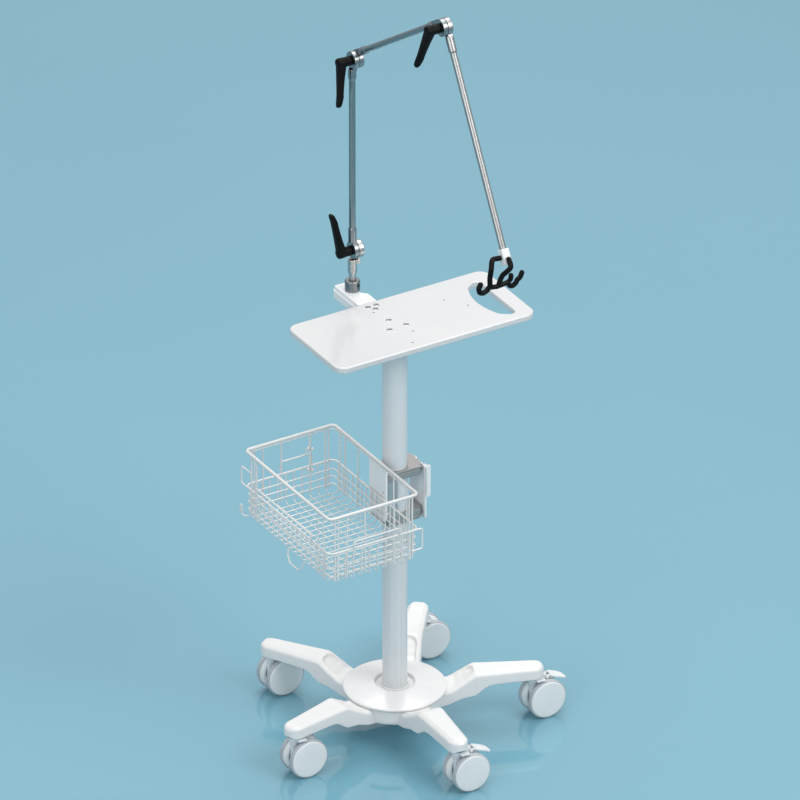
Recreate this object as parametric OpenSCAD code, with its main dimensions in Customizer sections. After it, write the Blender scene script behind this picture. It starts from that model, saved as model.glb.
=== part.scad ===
// Equipment trolley: five-star castor base, column, tray with a hand hole,
// wire basket clamped to the column, and a three-part clamped arm with a hose holder.
// Millimetres, +Z up, floor at Z = 0. +X runs along the tray towards its hand hole,
// +Y points to the rear, where the arm's socket stands.

/* [Placement] */
// Distance from the middle of the footprint to the column axis, along X
column_x = -16.6; // [-40:0.1:40]
// Distance from the middle of the footprint to the column axis, along Y
column_y = 65.9; // [-40:0.1:120]

/* [Star base] */
// Radius of the circle that the castor stems stand on
stem_circle_r = 251; // [230:1:290]
// Direction of the first leg, measured from +X
star_angle = -94.4; // [-100:0.1:-80]
// Height of the top of the legs
leg_top_z = 107; // [100:1:115]
// Height of the underside of the legs at the castors
leg_under_z = 82; // [81.5:0.5:84]
// Radius of the hub
hub_r = 88; // [80:1:92]
// Radius of the hub's cover disc
cover_r = 93.5; // [90:0.5:100]

/* [Castors] */
// Wheel diameter
wheel_d = 75; // [70:1:76]
// Distance from the swivel axis back to the axle
trail = 19; // [17:1:22]
// Overall width over the two wheels
castor_w = 49; // [46:1:54]
// Diameter of the castor stem
stem_d = 11; // [10:0.5:12]

/* [Column] */
// Outside diameter of the column tube
column_d = 45; // [40:1:50]
// Wall thickness of the column tube
column_wall = 3; // [2:0.5:5]

/* [Tray] */
// Length of the tray
tray_l = 410; // [340:1:440]
// Depth of the tray
tray_w = 186; // [160:1:200]
// Thickness of the tray
tray_t = 12; // [10:0.5:16]
// Height of the tray's top face
tray_top_z = 825; // [760:1:860]
// Offset of the tray's middle from the column, along X
tray_off_x = 35; // [20:1:50]
// Corner radius of the tray
tray_r = 20; // [10:1:30]

/* [Arm] */
// Distance of the arm post behind the column
post_y = 147.5; // [140:0.5:156]
// Height of the lower arm joint
joint1_z = 906; // [900:1:930]
// Length of the post between its joints
post_l = 384.8; // [340:1:420]
// Length of the middle rod between its joints
rod2_l = 350.9; // [320:1:400]
// Rise of the middle rod above the horizontal
rod2_rise = 34.3; // [20:0.1:45]
// Length of the end rod from its joint to the holder block
rod3_l = 407.7; // [380:1:430]
// Fall of the end rod below the horizontal
rod3_fall = 61.4; // [50:0.1:70]
// Diameter of the arm rods
rod_d = 12; // [10:0.5:12]
// Diameter of the joint discs
disc_d = 33; // [30:0.5:34]

/* [Basket] */
// Length of the basket along Y
basket_l = 293; // [250:1:320]
// Depth of the basket along X
basket_w = 183; // [150:1:200]
// Height of the basket
basket_h = 133; // [110:1:150]
// Height of the basket's rim
rim_z = 561; // [540:1:575]
// Diameter of the rim wire
rim_d = 6; // [5:0.5:7]
// Diameter of the grille wires
wire_d = 3; // [2.5:0.5:4]

/* [Hidden] */
$fn = 64;

wheel_r = wheel_d / 2;
col_r = column_d / 2;
tray_under_z = tray_top_z - tray_t;
flange_t = 6;
// joint disc layers along X: post layer, middle layer, end layer
la0 = -2.75; la1 = 6.65; lb0 = 6.85; lb1 = 16.25; lc0 = 16.45; lc1 = 25.85;
rod2_x = (lb0 + lb1) / 2;
rod3_x = (lc0 + lc1) / 2;
rod2_off = 9.5;
disc_r = disc_d / 2;
bolt_r = 4;
joint2_z = joint1_z + post_l;
joint3_y = post_y - rod2_l * cos(rod2_rise);
joint3_z = joint2_z + rod2_l * sin(rod2_rise);
white = [0.93, 0.93, 0.94];
steel = [0.62, 0.64, 0.66];
black = [0.07, 0.07, 0.08];
grey = [0.66, 0.68, 0.70];

module place() { translate([column_x, column_y, 0]) children(); }
function leg_a(k) = star_angle + 72 * (k - 1);
// castors in order: 1 front left, 2 front, 3 front right, 4 rear right, 5 rear left
function castor_a(k) = star_angle + 72 * (k - 2);
function stem_xy(k) = [stem_circle_r * cos(castor_a(k)), stem_circle_r * sin(castor_a(k))];
module at_castor(k) { place() translate([stem_xy(k)[0], stem_xy(k)[1], 0]) children(); }

// a straight round bar between two points
module bar(a, b, r, n = 64) {
    d = b - a; l = norm(d);
    translate(a) rotate([0, acos(d[2] / l), atan2(d[1], d[0])]) cylinder(r = r, h = l, $fn = n);
}
module xcyl(r, x0, x1, n = 64) { translate([x0, 0, 0]) rotate([0, 90, 0]) cylinder(r = r, h = x1 - x0, $fn = n); }
module ycyl(r, y0, y1, n = 64) { translate([0, y1, 0]) rotate([90, 0, 0]) cylinder(r = r, h = y1 - y0, $fn = n); }
module box(a, b) { translate(a) cube(b - a); }

// ---------------------------------------------------------------- star base
// side view of a leg: radius against height
function leg_side() = [[40, 51], [92, 51], [141, 62], [176, leg_under_z], [258, leg_under_z],
    [267, leg_under_z + 4], [268.5, leg_top_z - 6], [264, leg_top_z - 1], [143, leg_top_z + 1],
    [96, 79.3], [40, 79.3]];
module leg_plan() {
    polygon(concat([[40, 31], [92, 30], [143, 26], [230, 20.5]],
        [for (a = [80:-20:-80]) [stem_circle_r + 19 * cos(a), 19 * sin(a)]],
        [[230, -20.5], [143, -26], [92, -30], [40, -31]]));
}
module leg() {
    intersection() {
        translate([0, 40, 0]) rotate([90, 0, 0]) linear_extrude(80) polygon(leg_side());
        translate([0, 0, 30]) linear_extrude(100) leg_plan();
    }
}
module star_base() {
    color(white) place() difference() {
        union() {
            translate([0, 0, 48]) cylinder(r = hub_r, h = 32);
            for (k = [1:5]) rotate([0, 0, leg_a(k)]) leg();
        }
        for (k = [1:5]) rotate([0, 0, leg_a(k)]) translate([stem_circle_r, 0, leg_under_z - 1])
            cylinder(d = stem_d + 0.04, h = 23);
        translate([0, 0, 58]) cylinder(r = col_r + 0.05, h = 30);
        translate([0, 0, 40]) cylinder(r = 6.6, h = 30);
        translate([0, 0, 40]) cylinder(r = 14, h = 12);
    }
}
module hub_cover() {
    color(white) place() difference() {
        rotate_extrude($fn = 96) polygon([[0, 80.2], [cover_r - 2, 80.2], [cover_r, 82], [cover_r, 84],
            [cover_r - 1.5, 85.5], [60, 91], [42, 94], [38, 94], [35, 92], [34, 87], [0, 87]]);
        translate([0, 0, 70]) cylinder(r = col_r + 4, h = 40);
    }
}
module column_collar() {
    color(white) place() difference() {
        translate([0, 0, 80.2]) cylinder(r = col_r + 3.8, h = 8.8);
        translate([0, 0, 70]) cylinder(r = col_r + 0.05, h = 40);
    }
}
module column_tube() {
    color([0.80, 0.82, 0.86]) place() difference() {
        translate([0, 0, 58.2]) cylinder(r = col_r, h = tray_under_z - flange_t - 58.2);
        translate([0, 0, 66]) cylinder(r = col_r - column_wall, h = 900);
        translate([0, 0, 50]) cylinder(r = 5.1, h = 30);
    }
}
module column_bolt() {
    color(steel) place() {
        translate([0, 0, 52]) cylinder(r = 5, h = 24);
        translate([0, 0, 45]) cylinder(r = 9, h = 7, $fn = 6);
        translate([0, 0, 50]) cylinder(r = 12, h = 2);
    }
}
// ---------------------------------------------------------------- castors
// local frame: swivel axis at the origin, axle at x = trail, wheels on either side of the XZ plane
module castor_stems() {
    color(steel) for (k = [1:5]) at_castor(k) {
        translate([0, 0, 67.5]) cylinder(d = stem_d, h = 36);
        translate([0, 0, 81.2]) cylinder(d = 18, h = leg_under_z - 81.2);
    }
}
module housing() {
    difference() {
        union() {
            translate([0, 0, 66.5]) cylinder(r = 8, h = 14.5);
            translate([0, 0, 72]) cylinder(r = 10.5, h = 9);
            // web between the wheels
            translate([0, 4.5, 0]) rotate([90, 0, 0]) linear_extrude(9) polygon([[-8, 81], [-8, 60], [-4, 50],
                [trail - 13, 34], [trail - 8, 27], [trail + 2, 25], [trail + 11, 30], [trail + 13, 40],
                [trail + 10, 60], [trail + 8, 78], [trail + 4, 81]]);
            // hood over the wheels
            translate([0, 0, 76.2]) linear_extrude(4.8) {
                translate([1, -21]) square([13, 42]);
            }
        }
        translate([0, 0, 67]) cylinder(r = stem_d / 2 + 0.06, h = 40);
        translate([trail, 0, wheel_r]) rotate([90, 0, 0]) cylinder(r = 4.02, h = 60, center = true);
    }
}
module housing_k(k) {
    color(grey) at_castor(k)
        if (k == 2 || k == 3) {
            difference() {
                union() { housing(); translate([trail + 1, -4.5, 62]) cube([9, 9, 17]); }
                translate([trail + 6, 0, 74]) rotate([90, 0, 0]) cylinder(r = 2.06, h = 40, center = true);
            }
        } else housing();
}
module axle_k(k) {
    color(steel) at_castor(k) translate([trail, 0, wheel_r]) ycyl(4, -castor_w / 2 + 3, castor_w / 2 - 3);
}
// one wheel of a pair: side is -1 for the front wheel and +1 for the rear wheel
module wheel(side) {
    translate([trail, 0, wheel_r]) rotate([side > 0 ? -90 : 90, 0, 0]) difference() {
        rotate_extrude($fn = 96) polygon([[0, 5.2], [29, 5.2], [32, 7], [35.5, 11.5], [wheel_r - 1, 12.5], [wheel_r, 13.5],
            [wheel_r, castor_w / 2 - 4], [wheel_r - 1.4, castor_w / 2 - 1.8], [wheel_r - 4, castor_w / 2 - 0.6], [20, castor_w / 2], [0, castor_w / 2]]);
        translate([0, 0, 5]) cylinder(r = 4.06, h = castor_w / 2 - 3 - 5 + 0.3);
        // dished inner side that clears the stem boss
        translate([0, 0, 4]) difference() { cylinder(r = 26, h = 5); cylinder(r = 9, h = 6); }
    }
}
module brake_pedal() {
    color(white) {
        rotate([90, 0, 0]) translate([0, 0, -12]) linear_extrude(24)
            polygon([[trail + 12.6, 75.2], [trail + 40, 64.2], [trail + 44, 62.5], [trail + 45, 65],
                [trail + 40, 69.5], [trail + 12.6, 79.8]]);
        for (s = [-1, 1]) translate([0, s > 0 ? 4.8 : -7.8, 0]) {
            translate([trail + 6, 3, 74]) rotate([90, 0, 0]) cylinder(r = 3.4, h = 3);
            translate([trail + 6, 0, 75.4]) cube([8, 3, 4]);
        }
        translate([trail + 6, 7.8, 74]) rotate([90, 0, 0]) cylinder(r = 2, h = 15.6);
    }
}
// ---------------------------------------------------------------- tray
module rounded(l, w, r) {
    square([l - 2 * r, w], center = true);
    square([l, w - 2 * r], center = true);
    for (x = [-1, 1], y = [-1, 1]) translate([x * (l / 2 - r), y * (w / 2 - r)]) circle(r = r);
}
hand_x1 = tray_off_x + tray_l / 2 - 30;
function screw_xy() = [for (a = [92:120:332]) [20 * cos(a), 20 * sin(a)]];
function bracket_xy() = [[-8.5, 79], [8.5, 79], [0, 67]];
function small_xy() = [[16, -36], [-6, -72], [121, 32], [148, -6], [-10, 57]];
module hand_hole() {
    // straight side towards the end of the tray, bowed side towards the middle
    hull() {
        for (y = [-62, 50]) translate([hand_x1 - 10, y]) circle(r = 10, $fn = 32);
        for (a = [-28:7:28]) translate([hand_x1 + 79 - 113 * cos(a), -6 + 113 * sin(a)]) circle(r = 8, $fn = 32);
    }
}
module tray() {
    color(white) place() difference() {
        translate([0, 0, tray_under_z]) linear_extrude(tray_t) translate([tray_off_x, 0]) rounded(tray_l, tray_w, tray_r);
        translate([0, 0, tray_under_z - 5]) linear_extrude(tray_t + 10) hand_hole();
        for (p = concat(screw_xy(), bracket_xy())) translate([p[0], p[1], tray_under_z - 1]) {
            cylinder(r = 2.7, h = 30);
            translate([0, 0, tray_t - 3]) cylinder(r = 5, h = 10);
        }
        for (p = small_xy()) translate([p[0], p[1], tray_under_z - 1]) cylinder(r = 2.1, h = 30);
    }
}
module tray_screws() {
    color(steel) place() for (p = concat(screw_xy(), bracket_xy())) translate([p[0], p[1], 0]) {
        translate([0, 0, tray_top_z - 4]) difference() {
            cylinder(r = 4.8, h = 3.4);
            translate([0, 0, 1.4]) cylinder(r = 2, h = 5, $fn = 6);
        }
        translate([0, 0, tray_under_z - flange_t + 0.4]) cylinder(r = 2.5, h = tray_t + flange_t - 4);
    }
}
module top_flange() {
    color(white) place() difference() {
        union() {
            translate([0, 0, tray_under_z - flange_t]) cylinder(r = 34, h = flange_t);
            translate([0, 0, tray_under_z - 36]) cylinder(r = col_r - column_wall - 0.1, h = 34);
        }
        for (p = screw_xy()) translate([p[0], p[1], tray_under_z - flange_t]) cylinder(r = 2.52, h = 60);
    }
}
module arm_bracket() {
    color(white) place() difference() {
        union() {
            translate([0, 0, tray_under_z - 10]) linear_extrude(10) polygon([[-24, 50], [20, 50], [20, 122], [14, 132],
                [14, post_y + 30], [-24, post_y + 30]]);
            translate([0, 0, tray_under_z - 10]) linear_extrude(22) polygon([[-24, tray_w / 2 + 0.4], [20, tray_w / 2 + 0.4],
                [20, 122], [14, 132], [14, post_y + 30], [-24, post_y + 30]]);
        }
        for (p = bracket_xy()) translate([p[0], p[1], tray_top_z - 22.5]) cylinder(r = 2.52, h = 60);
        translate([0, post_y, tray_under_z - 20]) cylinder(r = 8.05, h = 60);
    }
}
socket_top_z = tray_top_z + 20.5;
module arm_socket() {
    color(steel) place() translate([0, post_y, 0]) difference() {
        union() {
            translate([0, 0, tray_top_z]) cylinder(r = 13.8, h = socket_top_z - tray_top_z);
            translate([0, 0, tray_under_z - 9]) cylinder(r = 8, h = 30);
        }
        translate([0, 0, tray_under_z - 2]) cylinder(r = rod_d / 2 + 0.06, h = 60);
        translate([0, 0, socket_top_z - 8]) rotate([90, 0, 20]) cylinder(r = 2.52, h = 20);
    }
}
module socket_screw() {
    color(black) place() translate([0, post_y, socket_top_z - 8]) rotate([90, 0, 20]) {
        translate([0, 0, rod_d / 2 + 0.3]) cylinder(r = 2.5, h = 8);
        translate([0, 0, 13.9]) cylinder(r = 3.4, h = 3);
    }
}
// ---------------------------------------------------------------- column clamp
block_x0 = -32; block_x1 = 46; block_y = 27;
rail_holes_z = [464, 508];
upper_z0 = 521; upper_z1 = 538; lower_z0 = 431; lower_z1 = 451;
module clamp_block(z0, z1) {
    difference() {
        translate([0, 0, z0]) linear_extrude(z1 - z0) polygon([[block_x0, -block_y], [block_x1 - 8, -block_y],
            [block_x1, -block_y + 14], [block_x1, block_y - 6], [block_x1 - 6, block_y], [block_x0, block_y]]);
        translate([0, 0, z0 - 1]) cylinder(r = col_r + 0.06, h = z1 - z0 + 2);
        // slit that lets the block grip
        translate([-1, 0, z0 - 1]) cube([2, 60, z1 - z0 + 2]);
        for (y = [-16, 16]) translate([0, y, (z0 + z1) / 2]) xcyl(2.52, 24, 60);
    }
}
module clamp_upper() { color(grey) place() clamp_block(upper_z0, upper_z1); }
module clamp_lower() { color(grey) place() clamp_block(lower_z0, lower_z1); }
module clamp_saddle() {
    color([0.50, 0.53, 0.54]) place() difference() {
        box([block_x0, -block_y, lower_z1], [-10, block_y, upper_z0]);
        translate([0, 0, lower_z1 - 1]) cylinder(r = col_r + 0.4, h = 200);
        box([-27, -block_y - 1, lower_z1 - 1], [-17, -block_y + 3, upper_z0 + 1]);
        box([-27, block_y - 3, lower_z1 - 1], [-17, block_y + 1, upper_z0 + 1]);
    }
}
module clamp_screws() {
    color(steel) place() for (z = [(upper_z0 + upper_z1) / 2, (lower_z0 + lower_z1) / 2], y = [-16, 16]) translate([block_x1, y, z]) {
        xcyl(2.5, -20, 4.1);
        difference() {
            xcyl(4.5, 4.02, 8);
            xcyl(2, 6, 9, 6);
        }
    }
}
module basket_bracket() {
    color(white) place() difference() {
        translate([block_x0 - 4, -29, rim_z - 120]) cube([4, 58, 116]);
        for (z = [rim_z - 100, rim_z - 15]) translate([0, 0, z]) xcyl(2.6, -60, 0);
    }
}
module side_rail() {
    color(white) place() difference() {
        union() {
            box([block_x1, -block_y, 426], [block_x1 + 4, block_y, 534]);
            box([block_x1, -block_y, 470], [block_x1 + 13, -block_y + 4, 534]);
        }
        for (z = [(upper_z0 + upper_z1) / 2, (lower_z0 + lower_z1) / 2], y = [-16, 16]) translate([0, y, z]) xcyl(2.52, 40, 60);
        for (z = rail_holes_z) translate([0, 4, z]) xcyl(2.6, 40, 60);
    }
}
// ---------------------------------------------------------------- basket
bx1 = block_x0 - 4 - rim_d / 2 - 0.2; bx0 = bx1 - basket_w;
by = basket_l / 2; fz = rim_z - basket_h;
nwall_l = 14; nwall_w = 9;
// end walls, in the XZ plane
module end_wall(y) {
    color(white) place() translate([0, y, 0]) {
        bar([bx0, 0, rim_z], [bx1, 0, rim_z], rim_d / 2, 8);
        for (x = [bx0, bx1]) bar([x, 0, fz - 2], [x, 0, rim_z], 2.4, 8);
        for (i = [1:nwall_w - 1]) bar([bx0 + i * basket_w / nwall_w, 0, fz], [bx0 + i * basket_w / nwall_w, 0, rim_z], wire_d / 2, 8);
        for (z = [fz, fz + 22, fz + 44, fz + 66]) bar([bx0, 0, z], [bx1, 0, z], wire_d / 2 + 0.3, 8);
    }
}
// side walls, in the YZ plane
module side_wall(x) {
    color(white) place() translate([x, 0, 0]) {
        bar([0, -by + 1, rim_z], [0, by - 1, rim_z], rim_d / 2, 8);
        for (i = [1:nwall_l - 1]) bar([0, -by + i * basket_l / nwall_l, fz], [0, -by + i * basket_l / nwall_l, rim_z], wire_d / 2, 8);
        for (z = [fz, fz + 22, fz + 44, fz + 66]) bar([0, -by + 1, z], [0, by - 1, z], wire_d / 2 + 0.3, 8);
    }
}
module basket_floor() {
    color(white) place() translate([0, 0, fz]) {
        for (i = [0:10]) bar([bx0 + 4 + i * (basket_w - 8) / 10, -by, 0], [bx0 + 4 + i * (basket_w - 8) / 10, by, 0], wire_d / 2, 8);
        for (i = [0:17]) bar([bx0, -by + 4 + i * (basket_l - 8) / 17, 1], [bx1, -by + 4 + i * (basket_l - 8) / 17, 1], wire_d / 2, 8);
    }
}
// ---------------------------------------------------------------- arm
module disc_bore() { xcyl(bolt_r + 0.08, -40, 60); }
module collar(t0, t1) { translate([0, 0, t0]) cylinder(r = 7.5, h = t1 - t0); }
module arm_stub() {
    color(steel) place() translate([0, post_y, 0]) difference() {
        union() {
            translate([0, 0, tray_under_z - 1.5]) cylinder(r = rod_d / 2, h = 52);
            translate([0, 0, 854]) cylinder(r1 = 6.4, r2 = 8.3, h = 8);
            translate([0, 0, 861.9]) cylinder(r = 8.3, h = joint1_z - 18 - 861.9);
            // knuckle that carries the disc beside the post's disc
            translate([lb0, -8, joint1_z - 27]) cube([5.5, 16, 20]);
            translate([-6, -7, joint1_z - 27]) cube([16, 14, 8.6]);
            translate([0, 0, joint1_z]) xcyl(disc_r, lb0, lb1);
        }
        translate([0, 0, joint1_z]) disc_bore();
    }
}
module arm_post() {
    color(steel) place() translate([0, post_y, joint1_z]) difference() {
        union() {
            translate([0, 0, 20]) cylinder(r = rod_d / 2, h = post_l - 40);
            for (m = [0, 1]) translate([0, 0, m * post_l]) mirror([0, 0, m]) {
                collar(18, 47);
                xcyl(disc_r, la0, la1);
                translate([la0, -7, 8]) cube([la1 - la0, 14, 14]);
            }
        }
        disc_bore();
        translate([0, 0, post_l]) disc_bore();
    }
}
module arm_middle_rod() {
    color(steel) place() translate([0, post_y, joint2_z]) rotate([90 - rod2_rise, 0, 0]) difference() {
        union() {
            translate([rod2_x, rod2_off, 24]) cylinder(r = rod_d / 2, h = rod2_l - 48);
            for (m = [0, 1]) translate([0, 0, m * rod2_l]) mirror([0, 0, m]) {
                translate([rod2_x, rod2_off, 0]) collar(26, 47);
                xcyl(disc_r, lb0, lb1);
                translate([lb0, rod2_off - 7, 0]) cube([lb1 - lb0, 14, 27]);
            }
        }
        disc_bore();
        translate([0, 0, rod2_l]) disc_bore();
    }
}
module at_joint3() { place() translate([0, joint3_y, joint3_z]) rotate([90 + rod3_fall, 0, 0]) children(); }
module arm_end_rod() {
    color(steel) at_joint3() difference() {
        union() {
            translate([rod3_x, 0, 20]) cylinder(r = rod_d / 2, h = rod3_l - 20 + 6);
            translate([rod3_x, 0, 0]) collar(18, 50);
            xcyl(disc_r, lc0, lc1);
            translate([lc0, -7, 8]) cube([lc1 - lc0, 14, 14]);
        }
        disc_bore();
    }
}
// bolt heads lie on the +X side; the shank runs through both discs into the lever
module clamp_bolt(x0, x1) {
    xcyl(bolt_r, x0 - 16, x1 + 0.1);
    xcyl(7.5, x1 + 0.02, x1 + 3.6);
    xcyl(5.5, x1 + 3.5, x1 + 5);
}
module clamp_lever(x0) {
    // boss on the bolt, then an arm that leans outward
    difference() {
        union() {
            xcyl(9, x0 - 18, x0 - 0.2);
            translate([x0 - 18, 0, 0]) sphere(r = 9, $fn = 48);
            hull() {
                translate([x0 - 21, 0, 2]) xcyl(8.2, -6, 5, 32);
                translate([x0 - 34, 0, 72]) rotate([0, -9.5, 0]) xcyl(6, -4.5, 4.5, 32);
            }
        }
        xcyl(bolt_r + 0.06, x0 - 16.2, x0 + 2);
    }
}
module bolt_k(k) {
    color(steel)
        if (k == 1) place() translate([0, post_y, joint1_z]) clamp_bolt(la0, lb1);
        else if (k == 2) place() translate([0, post_y, joint2_z]) clamp_bolt(la0, lb1);
        else place() translate([0, joint3_y, joint3_z]) clamp_bolt(lb0, lc1);
}
module lever_k(k) {
    color(black)
        if (k == 1) place() translate([0, post_y, joint1_z]) rotate([-7, 0, 0]) clamp_lever(la0);
        else if (k == 2) place() translate([0, post_y, joint2_z]) rotate([167, 0, 0]) clamp_lever(la0);
        else place() translate([0, joint3_y, joint3_z]) rotate([195, 0, 0]) clamp_lever(lb0);
}
block_t0 = rod3_l - 3;
module holder_block() {
    color(white) at_joint3() difference() {
        translate([rod3_x - 7.5, -8.5, block_t0]) cube([15, 17, 29]);
        translate([rod3_x, 0, block_t0 - 5]) cylinder(r = rod_d / 2 + 0.02, h = 14.2);
        translate([0, pin_n, block_t0 + pin_t]) xcyl(2.56, 0, 29);
        translate([rod3_x, 0, block_t0 + 5]) rotate([-90, 0, 0]) cylinder(r = 2.52, h = 20);
    }
}
module holder_screw() {
    color(black) at_joint3() translate([rod3_x, 0, block_t0 + 5]) rotate([-90, 0, 0]) translate([0, 0, rod_d / 2 + 0.1]) cylinder(r = 2.5, h = 3.6);
}
// pivot of the hose holder: behind the block's middle plane and along the rod from the block's top
pin_n = -2; pin_t = 14.5;
pivot_y = joint3_y - (block_t0 + pin_t) * cos(rod3_fall) - pin_n * sin(rod3_fall);
pivot_z = joint3_z - (block_t0 + pin_t) * sin(rod3_fall) + pin_n * cos(rod3_fall);
module hose_holder() {
    hr = 4.6;
    py = -13;
    sx = 8;
    function p(x, y, z) = [x + sx, pivot_y + y, pivot_z + z];
    // flat bent bar in the XZ plane: straights with a round at each bend
    module flat(v) {
        for (i = [0:len(v) - 2]) {
            d = v[i + 1] - v[i];
            translate(v[i]) rotate(atan2(d[1], d[0])) translate([0, -hr]) square([norm(d), 2 * hr]);
        }
        for (q = v) translate(q) rotate(7) circle(r = hr + 0.15, $fn = 12);
    }
    // a straight bar that runs a little past its ends
    module link(a, b, r) {
        d = (b - a) / norm(b - a);
        bar(a - d * 1.5, b + d * 1.5, r, 12);
    }
    color(black) place() {
        // pivot pin in the block, and the bar beside the block
        bar(p(rod3_x - 9.5 - sx, 0, 0), p(28 - sx, 0, 0), 2.5);
        bar(p(-16, 0, 0), p(rod3_x - 7.9 - sx, 0, 0), 4.2);
        link(p(-14.5, 0, 0), p(-21, py + 2, -8), 4.6);
        // right leg, whose upper end rests in front of the block
        link(p(12, -16.4, 3.6), p(13, -21, -4), 4);
        link(p(13, -21, -4), p(12, -24.5, -9), 4.25);
        link(p(12, -24.5, -9), p(7, -21, -17), 4);
        link(p(7, -21, -17), p(2, -15, -24), 4.25);
        link(p(2, -15, -24), p(-1, py, -30), 3.9);
        translate([sx, pivot_y + py + hr, pivot_z]) rotate([90, 0, 0]) linear_extrude(2 * hr) {
            // left leg, cross bar and middle hook
            flat([[-21.5, -8], [-24.5, -27], [-24, -43], [-10, -46.5], [1, -45.5], [13, -44], [18, -40], [19, -33]]);
            // right leg's lower end
            flat([[1, -27], [-6, -45]]);
            // left hook
            flat([[-24, -43], [-31, -49], [-38, -51.5], [-45, -49.5], [-47, -41], [-44, -34]]);
            // right hook
            flat([[14, -44], [16, -52], [21, -54.5], [29, -50], [32, -44], [37.5, -42], [41, -33.5]]);
        }
    }
}

star_base();
hub_cover();
column_collar();
column_tube();
column_bolt();
top_flange();
tray();
tray_screws();
arm_bracket();
arm_socket();
socket_screw();
castor_stems();
housing_k(1);  // castor_housing_1
housing_k(2);  // castor_housing_2
housing_k(3);  // castor_housing_3
housing_k(4);  // castor_housing_4
housing_k(5);  // castor_housing_5
axle_k(1);  // castor_axle_1
axle_k(2);  // castor_axle_2
axle_k(3);  // castor_axle_3
axle_k(4);  // castor_axle_4
axle_k(5);  // castor_axle_5
color(white) at_castor(1) wheel(-1);  // wheel_front_1
color(white) at_castor(2) wheel(-1);  // wheel_front_2
color(white) at_castor(3) wheel(-1);  // wheel_front_3
color(white) at_castor(4) wheel(-1);  // wheel_front_4
color(white) at_castor(5) wheel(-1);  // wheel_front_5
color(white) at_castor(1) wheel(1);  // wheel_rear_1
color(white) at_castor(2) wheel(1);  // wheel_rear_2
color(white) at_castor(3) wheel(1);  // wheel_rear_3
color(white) at_castor(4) wheel(1);  // wheel_rear_4
color(white) at_castor(5) wheel(1);  // wheel_rear_5
at_castor(2) brake_pedal();  // brake_pedal_2
at_castor(3) brake_pedal();  // brake_pedal_3
clamp_upper();
clamp_lower();
clamp_saddle();
clamp_screws();
basket_bracket();
side_rail();
basket_floor();
end_wall(-by);  // basket_front
end_wall(by);  // basket_rear
side_wall(bx1);  // basket_inner
side_wall(bx0);  // basket_outer
arm_stub();
arm_post();
arm_middle_rod();
arm_end_rod();
bolt_k(1);  // clamp_bolt_1
bolt_k(2);  // clamp_bolt_2
bolt_k(3);  // clamp_bolt_3
lever_k(1);  // clamp_lever_1
lever_k(2);  // clamp_lever_2
lever_k(3);  // clamp_lever_3
holder_block();
holder_screw();
hose_holder();
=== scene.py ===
import bpy, bmesh, math
from mathutils import Matrix, Vector


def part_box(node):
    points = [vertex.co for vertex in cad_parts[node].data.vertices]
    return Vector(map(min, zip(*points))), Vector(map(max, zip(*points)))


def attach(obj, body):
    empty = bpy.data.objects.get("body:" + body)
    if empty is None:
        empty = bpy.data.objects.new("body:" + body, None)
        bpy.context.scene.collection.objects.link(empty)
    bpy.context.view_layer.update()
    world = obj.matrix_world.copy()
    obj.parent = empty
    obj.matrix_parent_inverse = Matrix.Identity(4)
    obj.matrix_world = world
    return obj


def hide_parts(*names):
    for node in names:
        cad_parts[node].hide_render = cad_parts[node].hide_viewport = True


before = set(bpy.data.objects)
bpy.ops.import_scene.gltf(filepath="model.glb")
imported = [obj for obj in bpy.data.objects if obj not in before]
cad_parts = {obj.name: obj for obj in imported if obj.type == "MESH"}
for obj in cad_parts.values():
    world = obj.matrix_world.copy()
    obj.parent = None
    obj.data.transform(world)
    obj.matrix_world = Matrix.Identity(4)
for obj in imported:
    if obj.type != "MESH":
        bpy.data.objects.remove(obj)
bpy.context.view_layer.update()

scene = bpy.context.scene
coll = scene.collection
pi = math.pi

_lo, _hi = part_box("column_tube")
CX, CY = (_lo.x + _hi.x) * 500, (_lo.y + _hi.y) * 500
# millimetres round the column axis to metres in the row's frame
BASE = Matrix.Scale(0.001, 4) @ Matrix.Translation((CX, CY, 0))
V = Vector


# ------------------------------------------------------------------ materials
def new_mat(name, color, rough, metallic=0.0, coat=0.0, spec=0.5):
    m = bpy.data.materials.new(name)
    m.use_nodes = True
    nt = m.node_tree
    b = nt.nodes["Principled BSDF"]
    b.inputs["Base Color"].default_value = (*color, 1)
    b.inputs["Roughness"].default_value = rough
    b.inputs["Metallic"].default_value = metallic
    b.inputs["Coat Weight"].default_value = coat
    b.inputs["Coat Roughness"].default_value = 0.12
    b.inputs["Specular IOR Level"].default_value = spec
    return m, nt, b


def add_noise(nt, scale, detail=3.0, rough=0.55, coords="Object", stretch=None, distortion=0.0):
    tc = nt.nodes.new("ShaderNodeTexCoord")
    mp = nt.nodes.new("ShaderNodeMapping")
    nt.links.new(tc.outputs[coords], mp.inputs["Vector"])
    if stretch:
        mp.inputs["Scale"].default_value = stretch
    n = nt.nodes.new("ShaderNodeTexNoise")
    n.inputs["Scale"].default_value = scale
    n.inputs["Detail"].default_value = detail
    n.inputs["Roughness"].default_value = rough
    n.inputs["Distortion"].default_value = distortion
    nt.links.new(mp.outputs["Vector"], n.inputs["Vector"])
    return n


def remap(nt, src, a, b, lo=0.3, hi=0.7):
    r = nt.nodes.new("ShaderNodeMapRange")
    r.inputs["From Min"].default_value = lo
    r.inputs["From Max"].default_value = hi
    r.inputs["To Min"].default_value = a
    r.inputs["To Max"].default_value = b
    nt.links.new(src, r.inputs["Value"])
    return r.outputs["Result"]


def mix_color(nt, fac, c1, c2):
    x = nt.nodes.new("ShaderNodeMix")
    x.data_type = "RGBA"
    x.inputs["A"].default_value = (*c1, 1)
    x.inputs["B"].default_value = (*c2, 1)
    nt.links.new(fac, x.inputs["Factor"])
    return x.outputs["Result"]


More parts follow.
